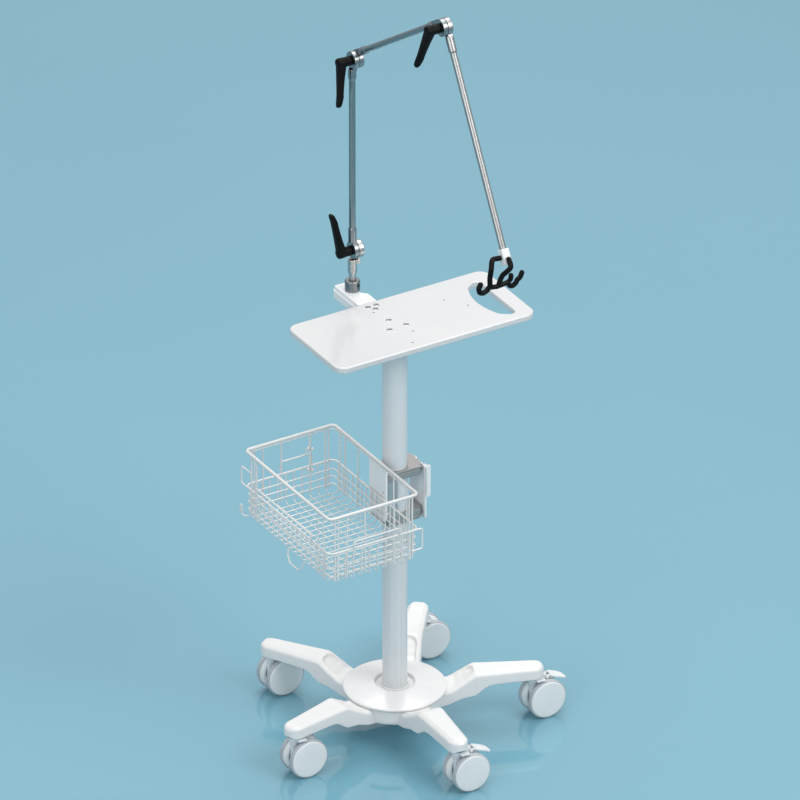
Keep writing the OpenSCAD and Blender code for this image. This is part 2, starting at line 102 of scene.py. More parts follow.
def bump(nt, b, height, strength, distance, after=None):
    n = nt.nodes.new("ShaderNodeBump")
    n.inputs["Strength"].default_value = strength
    n.inputs["Distance"].default_value = distance
    nt.links.new(height, n.inputs["Height"])
    if after is not None:
        nt.links.new(after, n.inputs["Normal"])
    nt.links.new(n.outputs["Normal"], b.inputs["Normal"])
    return n.outputs["Normal"]


def painted(name, c1, c2, rough=0.34, peel=0.05, coat=0.25):
    """Powder-coated metal: faint mottle, orange peel and slightly uneven gloss."""
    m, nt, b = new_mat(name, c1, rough, coat=coat)
    broad = add_noise(nt, 9.0, 4.0)
    nt.links.new(mix_color(nt, remap(nt, broad.outputs["Fac"], 0, 1), c1, c2), b.inputs["Base Color"])
    mid = add_noise(nt, 60.0, 3.0)
    nt.links.new(remap(nt, mid.outputs["Fac"], rough - 0.05, rough + 0.07), b.inputs["Roughness"])
    fine = add_noise(nt, 900.0, 2.0)
    bump(nt, b, fine.outputs["Fac"], peel, 0.0004)
    return m


def moulded(name, c1, c2, rough=0.4, grain=0.12, scale=2200.0, coat=0.0):
    """Moulded plastic: very fine spark grain, slight flow mottle."""
    m, nt, b = new_mat(name, c1, rough, coat=coat)
    broad = add_noise(nt, 25.0, 3.0)
    nt.links.new(mix_color(nt, remap(nt, broad.outputs["Fac"], 0, 1), c1, c2), b.inputs["Base Color"])
    mid = add_noise(nt, 140.0, 2.0)
    nt.links.new(remap(nt, mid.outputs["Fac"], rough - 0.05, rough + 0.06), b.inputs["Roughness"])
    fine = add_noise(nt, scale, 2.0)
    bump(nt, b, fine.outputs["Fac"], grain, 0.0002)
    return m


def brushed(name, c1, c2, rough=0.27, along=(1.0, 60.0), strength=0.05, coords="UV"):
    """Ground metal: fine lines that follow the mesh's own UV, uneven sheen."""
    m, nt, b = new_mat(name, c1, rough, metallic=1.0)
    lines = add_noise(nt, 40.0, 4.0, 0.65, coords, (along[0], along[1], 1.0))
    broad = add_noise(nt, 14.0, 3.0)
    nt.links.new(mix_color(nt, remap(nt, lines.outputs["Fac"], 0, 1), c1, c2), b.inputs["Base Color"])
    add = nt.nodes.new("ShaderNodeMath"); add.operation = "ADD"
    nt.links.new(remap(nt, lines.outputs["Fac"], -0.05, 0.06), add.inputs[0])
    nt.links.new(remap(nt, broad.outputs["Fac"], rough - 0.03, rough + 0.05), add.inputs[1])
    nt.links.new(add.outputs[0], b.inputs["Roughness"])
    bump(nt, b, lines.outputs["Fac"], strength, 0.0002)
    return m


def lined(name, c1, c2, rough, stretch, metallic=1.0, strength=0.08):
    """Extruded metal: die lines along one axis."""
    m, nt, b = new_mat(name, c1, rough, metallic=metallic)
    lines = add_noise(nt, 1.0, 4.0, 0.6, "Object", stretch)
    nt.links.new(mix_color(nt, remap(nt, lines.outputs["Fac"], 0, 1), c1, c2), b.inputs["Base Color"])
    nt.links.new(remap(nt, lines.outputs["Fac"], rough - 0.06, rough + 0.08), b.inputs["Roughness"])
    bump(nt, b, lines.outputs["Fac"], strength, 0.0002)
    return m


M_TRAY = painted("tray_powder_coat", (0.62, 0.62, 0.62), (0.595, 0.595, 0.60), 0.17, 0.03, 0.6)
M_BASE = painted("base_powder_coat", (0.79, 0.783, 0.773), (0.76, 0.757, 0.75), 0.34, 0.03, 0.25)
M_WHITE = painted("bracket_powder_coat", (0.80, 0.81, 0.82), (0.76, 0.775, 0.79), 0.36, 0.06, 0.2)
M_COVER = moulded("cover_plastic", (0.74, 0.74, 0.738), (0.71, 0.71, 0.71), 0.22, 0.006, 700.0, 0.3)
M_WIRE = painted("wire_epoxy_coat", (0.74, 0.735, 0.72), (0.69, 0.685, 0.67), 0.28, 0.10, 0.3)
M_WHEEL = moulded("wheel_plastic", (0.78, 0.80, 0.80), (0.74, 0.76, 0.765), 0.36, 0.05, 1800.0, 0.1)
M_TREAD = moulded("tread_rubber", (0.46, 0.49, 0.52), (0.40, 0.43, 0.46), 0.55, 0.15, 1600.0)
M_CASTOR = moulded("castor_plastic", (0.70, 0.73, 0.76), (0.65, 0.69, 0.72), 0.34, 0.05, 1800.0, 0.15)
M_BLACK = moulded("black_nylon", (0.0012, 0.0012, 0.0015), (0.0028, 0.0025, 0.0028), 0.50, 0.18, 1500.0)
M_BLACK.node_tree.nodes["Principled BSDF"].inputs["Specular IOR Level"].default_value = 0.14
M_HOLDER = painted("holder_black_coat", (0.0014, 0.0014, 0.0016), (0.003, 0.003, 0.0033), 0.40, 0.08, 0.0)
M_HOLDER.node_tree.nodes["Principled BSDF"].inputs["Specular IOR Level"].default_value = 0.15
# rod and socket steel: base colour darkened and given a cool blue-grey tint, painted shade and painted reflection of
# the blue surroundings; the end rod and the discs use lighter copies of the same steel
M_STEEL_SHADED = brushed("rod_stainless", (0.27, 0.30, 0.31), (0.335, 0.36, 0.37), 0.30, (4.0, 4.0), 0.01, "Object")
M_ROD3 = brushed("end_rod_stainless", (0.34, 0.345, 0.345), (0.42, 0.42, 0.415), 0.33, (4.0, 4.0), 0.01, "Object")
M_SOCKET_SHADED = brushed("socket_steel", (0.22, 0.235, 0.245), (0.29, 0.305, 0.31), 0.34, (4.0, 4.0), 0.01, "Object")
M_DISC = brushed("turned_stainless", (0.46, 0.46, 0.455), (0.56, 0.555, 0.55), 0.27, (5.0, 5.0), 0.01, "Object")
M_SCREW = brushed("screw_steel", (0.38, 0.38, 0.39), (0.55, 0.55, 0.55), 0.30, (1.0, 30.0), 0.03, "Object")
M_CLAMP = lined("clamp_aluminium", (0.36, 0.34, 0.33), (0.46, 0.44, 0.43), 0.42, (900.0, 900.0, 40.0), 0.75)
M_SADDLE = lined("saddle_aluminium", (0.42, 0.435, 0.44), (0.57, 0.58, 0.585), 0.34, (900.0, 900.0, 12.0), 0.7)
M_DARK = moulded("dark_gap_plastic", (0.03, 0.033, 0.036), (0.045, 0.048, 0.05), 0.6, 0.1)


def column_material():
    """Coated tube: soft sheen with faint draw lines along its length."""
    m, nt, b = new_mat("column_coat", (0.66, 0.68, 0.70), 0.30, coat=0.3)
    lines = add_noise(nt, 1.0, 3.0, 0.5, "Object", (420.0, 420.0, 3.0))
    nt.links.new(mix_color(nt, remap(nt, lines.outputs["Fac"], 0, 1), (0.64, 0.665, 0.68), (0.67, 0.69, 0.705)), b.inputs["Base Color"])
    nt.links.new(remap(nt, lines.outputs["Fac"], 0.26, 0.36), b.inputs["Roughness"])
    fine = add_noise(nt, 1100.0, 2.0)
    bump(nt, b, fine.outputs["Fac"], 0.05, 0.0003)
    return m


M_COLUMN = column_material()


# ------------------------------------------------------------------ mesh helpers
def finish_mesh(name, bm, body, mat, rep=(), angle=34, bevel=0.0, segs=3, M=None, mats=None):
    if M is not None:
        bm.transform(M)
    bm.transform(BASE)
    bmesh.ops.remove_doubles(bm, verts=bm.verts, dist=2e-7)
    bmesh.ops.recalc_face_normals(bm, faces=bm.faces)
    me = bpy.data.meshes.new(name)
    bm.to_mesh(me)
    bm.free()
    for p in me.polygons:
        p.use_smooth = True
    if not bevel:
        me.set_sharp_from_angle(angle=math.radians(angle))
    for x in (mats or [mat]):
        me.materials.append(x)
    ob = bpy.data.objects.new(name, me)
    coll.objects.link(ob)
    if bevel:
        b = ob.modifiers.new("edge", "BEVEL")
        b.width = bevel / 1000
        b.segments = segs
        b.limit_method = "ANGLE"
        b.angle_limit = math.radians(36)
        b.use_clamp_overlap = True
    w = ob.modifiers.new("weighted", "WEIGHTED_NORMAL")
    w.keep_sharp = True
    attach(ob, body)
    if rep:
        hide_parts(*rep)
    return ob


def uv_layer(bm):
    return bm.loops.layers.uv.get("UVMap") or bm.loops.layers.uv.new("UVMap")


def quad(bm, vs, uvs=None, mat=0):
    if len(set(vs)) < 3:
        return None
    vs2, uv2 = [], []
    for i, v in enumerate(vs):
        if v not in vs2:
            vs2.append(v)
            uv2.append(uvs[i] if uvs else None)
    try:
        f = bm.faces.new(vs2)
    except ValueError:
        return None
    f.material_index = mat
    if uvs:
        lay = uv_layer(bm)
        for l, c in zip(f.loops, uv2):
            l[lay].uv = c
    return f


def lathe(bm, prof, n=96, M=None, mat=0, mats=None, close=False):
    """prof: list of (radius, height); spins about Z. A radius of 0 is a pole."""
    M = M or Matrix.Identity(4)
    rings = []
    length = [0.0]
    for a, b in zip(prof, prof[1:]):
        length.append(length[-1] + math.hypot(b[0] - a[0], b[1] - a[1]))
    for r, z in prof:
        if r < 1e-6:
            v = bm.verts.new(M @ V((0, 0, z)))
            rings.append([v] * n)
        else:
            rings.append([bm.verts.new(M @ V((r * math.cos(2 * pi * i / n), r * math.sin(2 * pi * i / n), z))) for i in range(n)])
    if close:
        rings.append(rings[0])
        length.append(length[-1] + math.hypot(prof[0][0] - prof[-1][0], prof[0][1] - prof[-1][1]))
    for k in range(len(rings) - 1):
        a, b = rings[k], rings[k + 1]
        for i in range(n):
            j = (i + 1) % n
            quad(bm, [a[i], a[j], b[j], b[i]],
                 [(i / n, length[k] / 100), ((i + 1) / n, length[k] / 100), ((i + 1) / n, length[k + 1] / 100), (i / n, length[k + 1] / 100)],
                 mats[k] if mats else mat)


def arc2(cx, cy, r, a0, a1, n):
    return [(cx + r * math.cos(math.radians(a0 + (a1 - a0) * i / n)), cy + r * math.sin(math.radians(a0 + (a1 - a0) * i / n))) for i in range(n + 1)]


def rounded_path(pts, rad, seg=6, closed=False):
    pts = [V(p) for p in pts]
    out = []
    n = len(pts)
    for i in range(n):
        if not closed and i in (0, n - 1):
            out.append(pts[i].copy())
            continue
        a, b, c = pts[i - 1], pts[i], pts[(i + 1) % n]
        u, w = (a - b), (c - b)
        lu, lw = u.length, w.length
        u.normalize(); w.normalize()
        ang = u.angle(w)
        if ang > pi - 0.03:
            out.append(b.copy())
            continue
        d = min(rad / math.tan(ang / 2), 0.49 * lu, 0.49 * lw)
        rr = d * math.tan(ang / 2)
        cen = b + (u + w).normalized() * (rr / math.sin(ang / 2))
        p1, p2 = b + u * d - cen, b + w * d - cen
        sweep_angle = p1.angle(p2)
        for k in range(seg + 1):
            t = k / seg
            s = math.sin(sweep_angle)
            out.append(cen + p1 * (math.sin((1 - t) * sweep_angle) / s) + p2 * (math.sin(t * sweep_angle) / s))
    return out


def sweep(bm, pts, r, n=14, closed=False, cap="round", rfun=None, mat=0, v0=0.0):
    """A round bar along a path, with rounded or flat ends."""
    pts = [V(p) for p in pts]
    m = len(pts)
    tan = []
    for i in range(m):
        if closed:
            t = pts[(i + 1) % m] - pts[i - 1]
        else:
            t = pts[min(i + 1, m - 1)] - pts[max(i - 1, 0)]
        tan.append(t.normalized())
    ref = V((0, 0, 1)) if abs(tan[0].z) < 0.9 else V((1, 0, 0))
    nrm = (ref - tan[0] * ref.dot(tan[0])).normalized()
    nr = []
    for i in range(m):
        nrm = (nrm - tan[i] * nrm.dot(tan[i])).normalized()
        nr.append(nrm.copy())
    rings, vs = [], []
    dist = v0
    def ring(c, t, nn, rad):
        bb = t.cross(nn)
        return [bm.verts.new(c + (nn * math.cos(2 * pi * k / n) + bb * math.sin(2 * pi * k / n)) * rad) for k in range(n)]
    def rad_at(i):
        return rfun(i / max(m - 1, 1)) if rfun else r
    if not closed and cap == "round":
        for a in (80, 55, 28):
            A = math.radians(a)
            rings.append(ring(pts[0] - tan[0] * (rad_at(0) * math.sin(A)), tan[0], nr[0], rad_at(0) * math.cos(A)))
            vs.append(dist)
    for i in range(m):
        if i:
            dist += (pts[i] - pts[i - 1]).length
        rings.append(ring(pts[i], tan[i], nr[i], rad_at(i)))
        vs.append(dist)
    if not closed and cap == "round":
        for a in (28, 55, 80):
            A = math.radians(a)
            rings.append(ring(pts[-1] + tan[-1] * (rad_at(m - 1) * math.sin(A)), tan[-1], nr[-1], rad_at(m - 1) * math.cos(A)))
            vs.append(dist)
    cnt = len(rings)
    for k in range(cnt if closed else cnt - 1):
        a, b = rings[k], rings[(k + 1) % cnt]
        va, vb = vs[k] / 100, vs[(k + 1) % cnt] / 100
        shift = 0
        if closed and k == cnt - 1:
            shift = min(range(n), key=lambda s: (b[s].co - a[0].co).length)
        for i in range(n):
            j = (i + 1) % n
            quad(bm, [a[i], a[j], b[(j + shift) % n], b[(i + shift) % n]], [(i / n, va), ((i + 1) / n, va), ((i + 1) / n, vb), (i / n, vb)], mat)
    if not closed:
        for rg in (rings[0], rings[-1]):
            f = bm.faces.new(rg if rg is rings[-1] else list(reversed(rg)))
            f.material_index = mat


def offset_loop(loop, d, hole):
    """Moves a closed loop into the material by d."""
    n = len(loop)
    area = sum(loop[i][0] * loop[(i + 1) % n][1] - loop[(i + 1) % n][0] * loop[i][1] for i in range(n))
    s = 1.0 if area > 0 else -1.0
    if hole:
        s = -s
    out = []
    for i in range(n):
        p0, p1, p2 = V(loop[i - 1]), V(loop[i]), V(loop[(i + 1) % n])
        e1, e2 = (p1 - p0), (p2 - p1)
        if e1.length < 1e-9 or e2.length < 1e-9:
            out.append(tuple(p1)); continue
        e1.normalize(); e2.normalize()
        n1, n2 = V((-e1.y, e1.x)), V((-e2.y, e2.x))
        b = (n1 + n2)
        b = b / max(b.length_squared, 0.5) * 2
        out.append((p1.x + b.x * d * s, p1.y + b.y * d * s))
    return out


def plate(bm, loops, z0, z1, r=1.0, seg=3, M=None, mat=0, radii=None):
    """A flat plate with a rounded rim: loops[0] is the outline and the rest are holes."""
    M = M or Matrix.Identity(4)
    tops, bots = [], []
    for li, loop in enumerate(loops):
        rr = min(radii[li] if radii else r, (z1 - z0) / 2 * 0.98)
        steps = []
        for k in range(seg + 1):
            a = pi / 2 * k / seg
            steps.append((rr * (1 - math.sin(a)), z1 - rr * (1 - math.cos(a))))
        for k in range(seg + 1):
            a = pi / 2 * k / seg
            steps.append((rr * (1 - math.cos(a)), z0 + rr * (1 - math.sin(a))))
        rings = []
        for d, z in steps:
            lp = offset_loop(loop, d, li > 0) if d > 1e-9 else loop
            rings.append([bm.verts.new(M @ V((x, y, z))) for x, y in lp])
        n = len(loop)
        for k in range(len(rings) - 1):
            for i in range(n):
                j = (i + 1) % n
                f = bm.faces.new([rings[k][i], rings[k][j], rings[k + 1][j], rings[k + 1][i]])
                f.material_index = mat
        tops.append(rings[0]); bots.append(rings[-1])
    for group in (tops, bots):
        edges = []
        for ring in group:
            for i in range(len(ring)):
                e = bm.edges.get((ring[i], ring[(i + 1) % len(ring)]))
                edges.append(e)
        res = bmesh.ops.triangle_fill(bm, use_beauty=True, use_dissolve=False, edges=edges)
        for g in res["geom"]:
            if isinstance(g, bmesh.types.BMFace):
                g.material_index = mat


def round_poly(pts, rad, seg=6):
    """2-D outline with rounded corners; rad is a number or one per corner."""
    n = len(pts)
    out = []
    for i in range(n):
        r = rad[i] if isinstance(rad, (list, tuple)) else rad
        a, b, c = V(pts[i - 1]).to_3d(), V(pts[i]).to_3d(), V(pts[(i + 1) % n]).to_3d()
        if r <= 0:
            out.append((b.x, b.y)); continue
        tri = rounded_path([a, b, c], r, seg)
        out += [(p.x, p.y) for p in tri[1:-1]]
    return out


def circle(x, y, r, n=32):
    return [(x + r * math.cos(2 * pi * i / n), y + r * math.sin(2 * pi * i / n)) for i in range(n)]


def loft(bm, rings, mat=0, cap=True, closed_ring=True):
    vs = [[bm.verts.new(p) for p in ring] for ring in rings]
    n = len(vs[0])
    for k in range(len(vs) - 1):
        for i in range(n if closed_ring else n - 1):
            j = (i + 1) % n
            f = bm.faces.new([vs[k][i], vs[k][j], vs[k + 1][j], vs[k + 1][i]])
            f.material_index = mat
    if cap:
        bm.faces.new(list(reversed(vs[0]))).material_index = mat
        bm.faces.new(vs[-1]).material_index = mat
    return vs


def boxy(bm, a, b, mat=0, M=None):
    M = M or Matrix.Identity(4)
    x0, y0, z0 = a; x1, y1, z1 = b
    c = [bm.verts.new(M @ V(p)) for p in ((x0, y0, z0), (x1, y0, z0), (x1, y1, z0), (x0, y1, z0), (x0, y0, z1), (x1, y0, z1), (x1, y1, z1), (x0, y1, z1))]
    for f in ((0, 3, 2, 1), (4, 5, 6, 7), (0, 1, 5, 4), (1, 2, 6, 5), (2, 3, 7, 6), (3, 0, 4, 7)):
        bm.faces.new([c[i] for i in f]).material_index = mat


XAX = Matrix.Rotation(pi / 2, 4, "Y")          # maps +Z to +X
T = Matrix.Translation


def spline(keys, x):
    """Smooth value of a table of (x, value) at x."""
    if x <= keys[0][0]:
        return keys[0][1]
    for (x0, y0), (x1, y1) in zip(keys, keys[1:]):
        if x <= x1:
            t = (x - x0) / (x1 - x0)
            t = t * t * (3 - 2 * t) * 0.35 + t * 0.65
            return y0 + (y1 - y0) * t
    return keys[-1][1]


# ------------------------------------------------------------------ star base
STEM_R, LEG_A0 = 251.0, -94.4


def castor_angle(k):
    return math.radians(LEG_A0 + 72 * (k - 2))


LEG_TOP = [(60, 79.2), (92, 79.6), (98, 80.6), (104, 84.0), (120, 93.6), (134, 102.4), (140, 106.0), (143, 107.2), (147, 107.7), (156, 107.7), (200, 107.4), (255, 107.0), (262, 106.2), (266, 104.4), (269, 100.0)]
LEG_BOT = [(60, 49.0), (84, 49.2), (94, 50.5), (106, 55.0), (118, 59.8), (128, 61.0), (141, 62.5), (150, 68.0), (160, 76.0), (170, 80.6), (180, 81.8), (215, 82.0), (256, 82.0), (264, 83.4), (269, 87.5)]
LEG_WID = [(60, 36), (76, 33.0), (86, 31.0), (96, 29.6), (120, 27.8), (143, 25.6), (170, 23.6), (200, 21.8), (235, 19.8), (251, 19.0)]


def smooth(a, b, x):
    t = min(1.0, max(0.0, (x - a) / (b - a)))
    return t * t * (3 - 2 * t)


def leg_rings(rmat):
    """Cross sections of a leg from the hub outwards: flat top, crease, bright chamfer, upright side."""
    rings = []
    stations = [58, 70, 80, 86, 89.5, 91.5, 93, 95, 97.5, 100] + [102 + 2.4 * i for i in range(13)] + [132.5, 134, 135.4, 136.6, 137.8, 138.8, 139.8, 140.8, 141.8, 143, 144.2, 146, 149, 154, 160, 168, 178, 190, 204, 218, 232, 242, 249, 254, 258, 261.5, 264.3, 266.4, 267.9, 268.8, 269.3]
    for R in stations:
        zt, zb = spline(LEG_TOP, R), spline(LEG_BOT, R)
        w = spline(LEG_WID, R)
        if R > 250:
            w = 19.0 * math.sqrt(max(0.03, 1 - ((R - 250) / 19.6) ** 2))
        k = min(1.0, w / 19.0)
        # scooped pocket on the slope, closed by a round end below the flat top
        end = 141.6
        xr = min(1.0, max(0.0, (R - (end - 16)) / 16))
        pocket_w = (w - 8.6) * math.sqrt(max(0.0, 1 - xr ** 2.6))
        depth = 5.2 * smooth(90, 112, R) * (1 - smooth(end - 1.2, end + 0.2, R))
        def dip(y):
            return depth * smooth(0.0, 1.5, pocket_w - y) * (0.86 + 0.14 * min(1, (pocket_w - y) / max(pocket_w, 1)))
        half = []
        wi = max(w - 7.4, w * 0.60)
        for f in (0.0, 0.14, 0.28, 0.42, 0.54, 0.64, 0.72, 0.79, 0.85, 0.90, 0.94, 0.97, 1.0):
            y = wi * f
            half.append((y, zt - dip(y)))
        half += [(wi + 0.9 * k, zt - 0.9 * k), (wi + 1.7 * k, zt - 1.1 * k), (w - 3.0 * k, zt - 2.6 * k), (w - 1.2 * k, zt - 4.6 * k), (w - 0.5 * k, zt - 5.8 * k), (w - 0.15 * k, zt - 7.4 * k),
                 (w, zt - 10 * k), (w + 0.2 * k, zb + 3.4 * k), (w - 0.1 * k, zb + 1.6 * k), (w - 1.0 * k, zb + 0.5 * k), (w - 2.4 * k, zb), (w * 0.45, zb)]
        ring = [V((R, y, z)) for y, z in half] + [V((R, -y, z)) for y, z in reversed(half[1:])]
        rings.append([rmat @ p for p in ring])
    return rings


bm = bmesh.new()
for k in range(1, 6):
    loft(bm, leg_rings(Matrix.Rotation(castor_angle(k), 4, "Z")))
hub = [(0, 47.6), (60, 47.6), (62, 49.2), (70, 49.6), (82, 49.6), (85.5, 50.6), (87.4, 53.0), (88.2, 57.0), (88.4, 74.0), (87.6, 78.0), (85.0, 79.6), (80, 79.9), (30, 79.9), (0, 79.9)]
lathe(bm, hub, 120)
base = finish_mesh("star_base_casting", bm, "trolley", M_BASE, ("star_base",), angle=38)

# stem bosses under the leg ends, then the parts round the hub
bm = bmesh.new()
for k in range(1, 6):
    a = castor_angle(k)
    M = T((STEM_R * math.cos(a), STEM_R * math.sin(a), 0))
    lathe(bm, [(5.6, 82.6), (5.6, 81.4), (13.2, 81.4), (14.2, 81.9), (14.6, 82.9)], 48, M)
finish_mesh("leg_end_bushes", bm, "trolley", M_CASTOR)

bm = bmesh.new()
cover = [(26.6, 79.95), (26.6, 87.0), (27.0, 87.3), (34.2, 87.3), (35.0, 87.9), (35.6, 91.6), (36.4, 93.2), (37.8, 94.0), (40.5, 94.1), (44, 93.7), (60, 91.3), (78, 88.4), (88, 86.6), (91.4, 85.8),
         (93.0, 84.9), (93.6, 83.7), (93.5, 82.0), (92.4, 80.6), (90.6, 80.1), (40, 80.0), (30, 79.95)]
lathe(bm, cover, 144, close=True)
finish_mesh("hub_cover_disc", bm, "trolley", M_COVER, ("hub_cover",), angle=50)

bm = bmesh.new()
lathe(bm, [(22.6, 80.2), (25.6, 80.2), (26.3, 80.9), (26.3, 87.6), (25.9, 88.6), (25.0, 89.2), (24.0, 89.4), (23.2, 89.2), (22.6, 88.6)], 96, close=True)
finish_mesh("column_foot_ring", bm, "trolley", M_COVER, ("column_collar",))

bm = bmesh.new()
lathe(bm, [(5.1, 58.2), (21.6, 58.2), (22.5, 59.2), (22.5, 806.4), (21.9, 807.0), (20.0, 807.0), (19.5, 806.5), (19.5, 66.5), (19.0, 66), (5.1, 66)], 96, close=True)
finish_mesh("column_tube_coated", bm, "trolley", M_COLUMN, ("column_tube",))

bm = bmesh.new()
lathe(bm, [(0, 76), (4.2, 76), (5, 75.2), (5, 52.2), (11.4, 52.2), (12, 51.8), (12, 50.4), (11.5, 50), (9.4, 50)], 48)
hexp = [(9.4 * math.cos(pi / 3 * i), 9.4 * math.sin(pi / 3 * i)) for i in range(6)]
plate(bm, [hexp], 44.6, 50.1, 0.6, 2)
finish_mesh("hub_bolt", bm, "trolley", M_SCREW, ("column_bolt",))

# ------------------------------------------------------------------ castors
TRAIL, WR, CW = 19.0, 37.5, 24.5


def wheel_parts(side):
    """(bright disc, tread) profiles from the castor's middle plane outwards."""
    face = [(4.08, 21.9), (4.08, 5.4), (9.0, 5.4), (9.4, 6.2), (9.8, 8.8), (12, 9.2), (24.5, 9.2), (25.8, 8.8), (26.3, 7.2), (26.8, 5.5), (29.0, 5.3), (30.4, 5.9), (32.0, 7.4), (33.9, 9.9), (35.2, 12.0), (35.3, 12.6),
            (34.6, 12.9), (34.6, 20.9), (35.1, 21.1), (35.15, 22.0), (34.9, 22.8), (34.2, 23.5), (33.2, 23.8), (28, 24.1), (20, 24.35), (12, 24.45), (0, 24.5)]
    face = face + [(0, 21.9)]
    tread = [(34.6, 12.7), (35.5, 12.5), (36.4, 12.7), (37.1, 13.4), (37.45, 14.6), (37.5, 16.0), (37.5, 18.8), (37.4, 20.2), (37.0, 21.2), (36.3, 21.8), (35.4, 21.9), (34.6, 21.6)]
    return face, tread


for k in range(1, 6):
    a = castor_angle(k)
    sx, sy = STEM_R * math.cos(a), STEM_R * math.sin(a)
    for side, tag in ((-1, "front"), (1, "rear")):
        W = T((sx + TRAIL, sy, WR)) @ Matrix.Rotation(-pi / 2 * side, 4, "X")
        face, tread = wheel_parts(side)
        bm = bmesh.new()
        lathe(bm, face, 96, W)
        finish_mesh(f"wheel_disc_{tag}_{k}", bm, f"wheel_{tag}_{k}", M_WHEEL, (f"wheel_{tag}_{k}",), angle=40)
        bm = bmesh.new()
        lathe(bm, tread, 96, W, close=True)
        finish_mesh(f"wheel_tread_{tag}_{k}", bm, f"wheel_{tag}_{k}", M_TREAD, angle=50)
    # yoke: web, boss, hood
    bm = bmesh.new()
    web = round_poly([(-7.5, 80.6), (-7.5, 62), (-3, 50), (6, 34), (10, 27.5), (19, 25.2), (27, 27.8), (31.5, 36), (31, 48), (28.5, 60), (26.5, 74), (22, 80.6)], [2, 3, 8, 8, 6, 10, 8, 8, 12, 12, 5, 3], 5)
    plate(bm, [web], -4.5, 4.5, 1.4, 3, T((sx, sy, 0)) @ Matrix.Rotation(pi / 2, 4, "X"))
    lathe(bm, [(0, 66.2), (6.8, 66.2), (7.8, 67.0), (8.0, 68.2), (8.0, 71.2), (9.6, 71.8), (10.6, 72.8), (10.8, 74.0), (10.8, 79.6), (10.2, 80.7), (9.2, 81.0), (0, 81.0)], 48, T((sx, sy, 0)))
    # flattened column that drops from the neck between the wheels
    lathe(bm, [(0, 34), (5.0, 34), (5.0, 66.6), (0, 66.6)], 40, T((sx, sy, 0)) @ Matrix.Scale(1.5, 4, V((1, 0, 0))) @ Matrix.Scale(0.98, 4, V((0, 1, 0))))
    # curved hood over both wheels
    prof = []
    for i in range(9):
        t = i / 8
        x = -2.5 + 17.5 * t
        z = 80.9 - 0.9 * (t ** 2) * 2.2
        prof.append((x, z))
    low = [(x, z - 4.0 + 0.3 * j / 8) for j, (x, z) in enumerate(prof)]
    hood = prof + list(reversed(low))
    hood = round_poly(hood, 0.0)
    hood_l = [(x, z) for x, z in hood]
    plate(bm, [hood_l], -21.0, 21.0, 1.2, 3, T((sx, sy, 0)) @ Matrix.Rotation(pi / 2, 4, "X"))
    # axle hub on the web
    lathe(bm, [(0, -5.1), (10.5, -5.1), (11.4, -4.6), (11.4, 4.6), (10.5, 5.1), (0, 5.1)], 48, T((sx + TRAIL, sy, WR)) @ Matrix.Rotation(pi / 2, 4, "X"))
    if k in (2, 3):
        plate(bm, [round_poly([(20, 60), (29, 62), (29, 76), (26.5, 79), (23, 79), (20, 76)], [0, 2, 2, 2, 2, 1], 3)], -4.4, 4.4, 0.8, 2, T((sx, sy, 0)) @ Matrix.Rotation(pi / 2, 4, "X"))
    finish_mesh(f"castor_yoke_{k}", bm, f"castor_{k}", M_CASTOR, (f"castor_housing_{k}",), angle=40)
    bm = bmesh.new()
    lathe(bm, [(0, -21.4), (3.4, -21.4), (4, -20.8), (4, 20.8), (3.4, 21.4), (0, 21.4)], 40, T((sx + TRAIL, sy, WR)) @ Matrix.Rotation(pi / 2, 4, "X"))
    finish_mesh(f"castor_axle_pin_{k}", bm, f"castor_{k}", M_SCREW, (f"castor_axle_{k}",))
    if k in (2, 3):
        bm = bmesh.new()
        # pedal blade: a curved, crowned tongue that narrows to its tip
        rings = []
        st = [(12.8, 79.4, 75.4, 10.0), (16, 78.4, 74.4, 11.4), (22, 76.2, 72.2, 12.0), (28, 73.8, 70.0, 12.0), (34, 71.2, 67.6, 12.0), (39, 68.6, 65.2, 11.6), (42.5, 66.9, 63.9, 10.4), (44.4, 65.8, 63.6, 8.6), (45.0, 65.0, 64.0, 7.4)]
        for x, zt, zb, w in st:
            ring = []
            for y, f in ((-1, 0.35), (-0.96, 0.85), (-0.86, 1.0), (-0.5, 1.0), (0, 1.0), (0.5, 1.0), (0.86, 1.0), (0.96, 0.85), (1, 0.35)):
                ring.append(V((sx + TRAIL + x, sy + y * w, zb + (zt - zb) * f + (0.35 if abs(y) < 0.6 else 0))))
            for y, f in ((0.97, 0.08), (0.86, 0.0), (0, 0.0), (-0.86, 0.0), (-0.97, 0.08)):
                ring.append(V((sx + TRAIL + x, sy + y * w, zb + (zt - zb) * f)))
            rings.append(ring)
        loft(bm, rings)
        # grip ribs near the tip
        for x in (29, 32.5, 36):
            zt = 73.8 - (x - 28) * 0.46
            sweep(bm, [(sx + TRAIL + x, sy - 8.5, zt + 0.25), (sx + TRAIL + x, sy + 8.5, zt + 0.25)], 0.55, 8)
        for s in (-1, 1):
            ear = round_poly([(3.2, 74), (6, 70.7), (9.2, 74), (13.5, 76), (13.8, 79.2), (6, 77.4)], [2.5, 3, 2, 1, 0.5, 3], 4)
            y0 = sy + (4.8 if s > 0 else -7.6)
            plate(bm, [ear], -y0 - 2.8, -y0, 0.5, 2, T((sx + TRAIL, 0, 0)) @ Matrix.Rotation(pi / 2, 4, "X"))
        sweep(bm, [(sx + TRAIL + 6, sy - 7.7, 74), (sx + TRAIL + 6, sy + 7.7, 74)], 2.0, 20)
        finish_mesh(f"pedal_blade_{k}", bm, f"brake_pedal_{k}", M_WHEEL, (f"brake_pedal_{k}",), angle=45)

bm = bmesh.new()
for k in range(1, 6):
    a = castor_angle(k)
    lathe(bm, [(0, 67.6), (4.9, 67.6), (5.5, 68.2), (5.5, 81.25), (8.6, 81.25), (9, 81.6), (8.8, 82.0), (5.5, 82.0), (5.5, 103), (0, 103.4)], 40, T((STEM_R * math.cos(a), STEM_R * math.sin(a), 0)))
finish_mesh("castor_stem_pins", bm, "trolley", M_SCREW, ("castor_stems",))

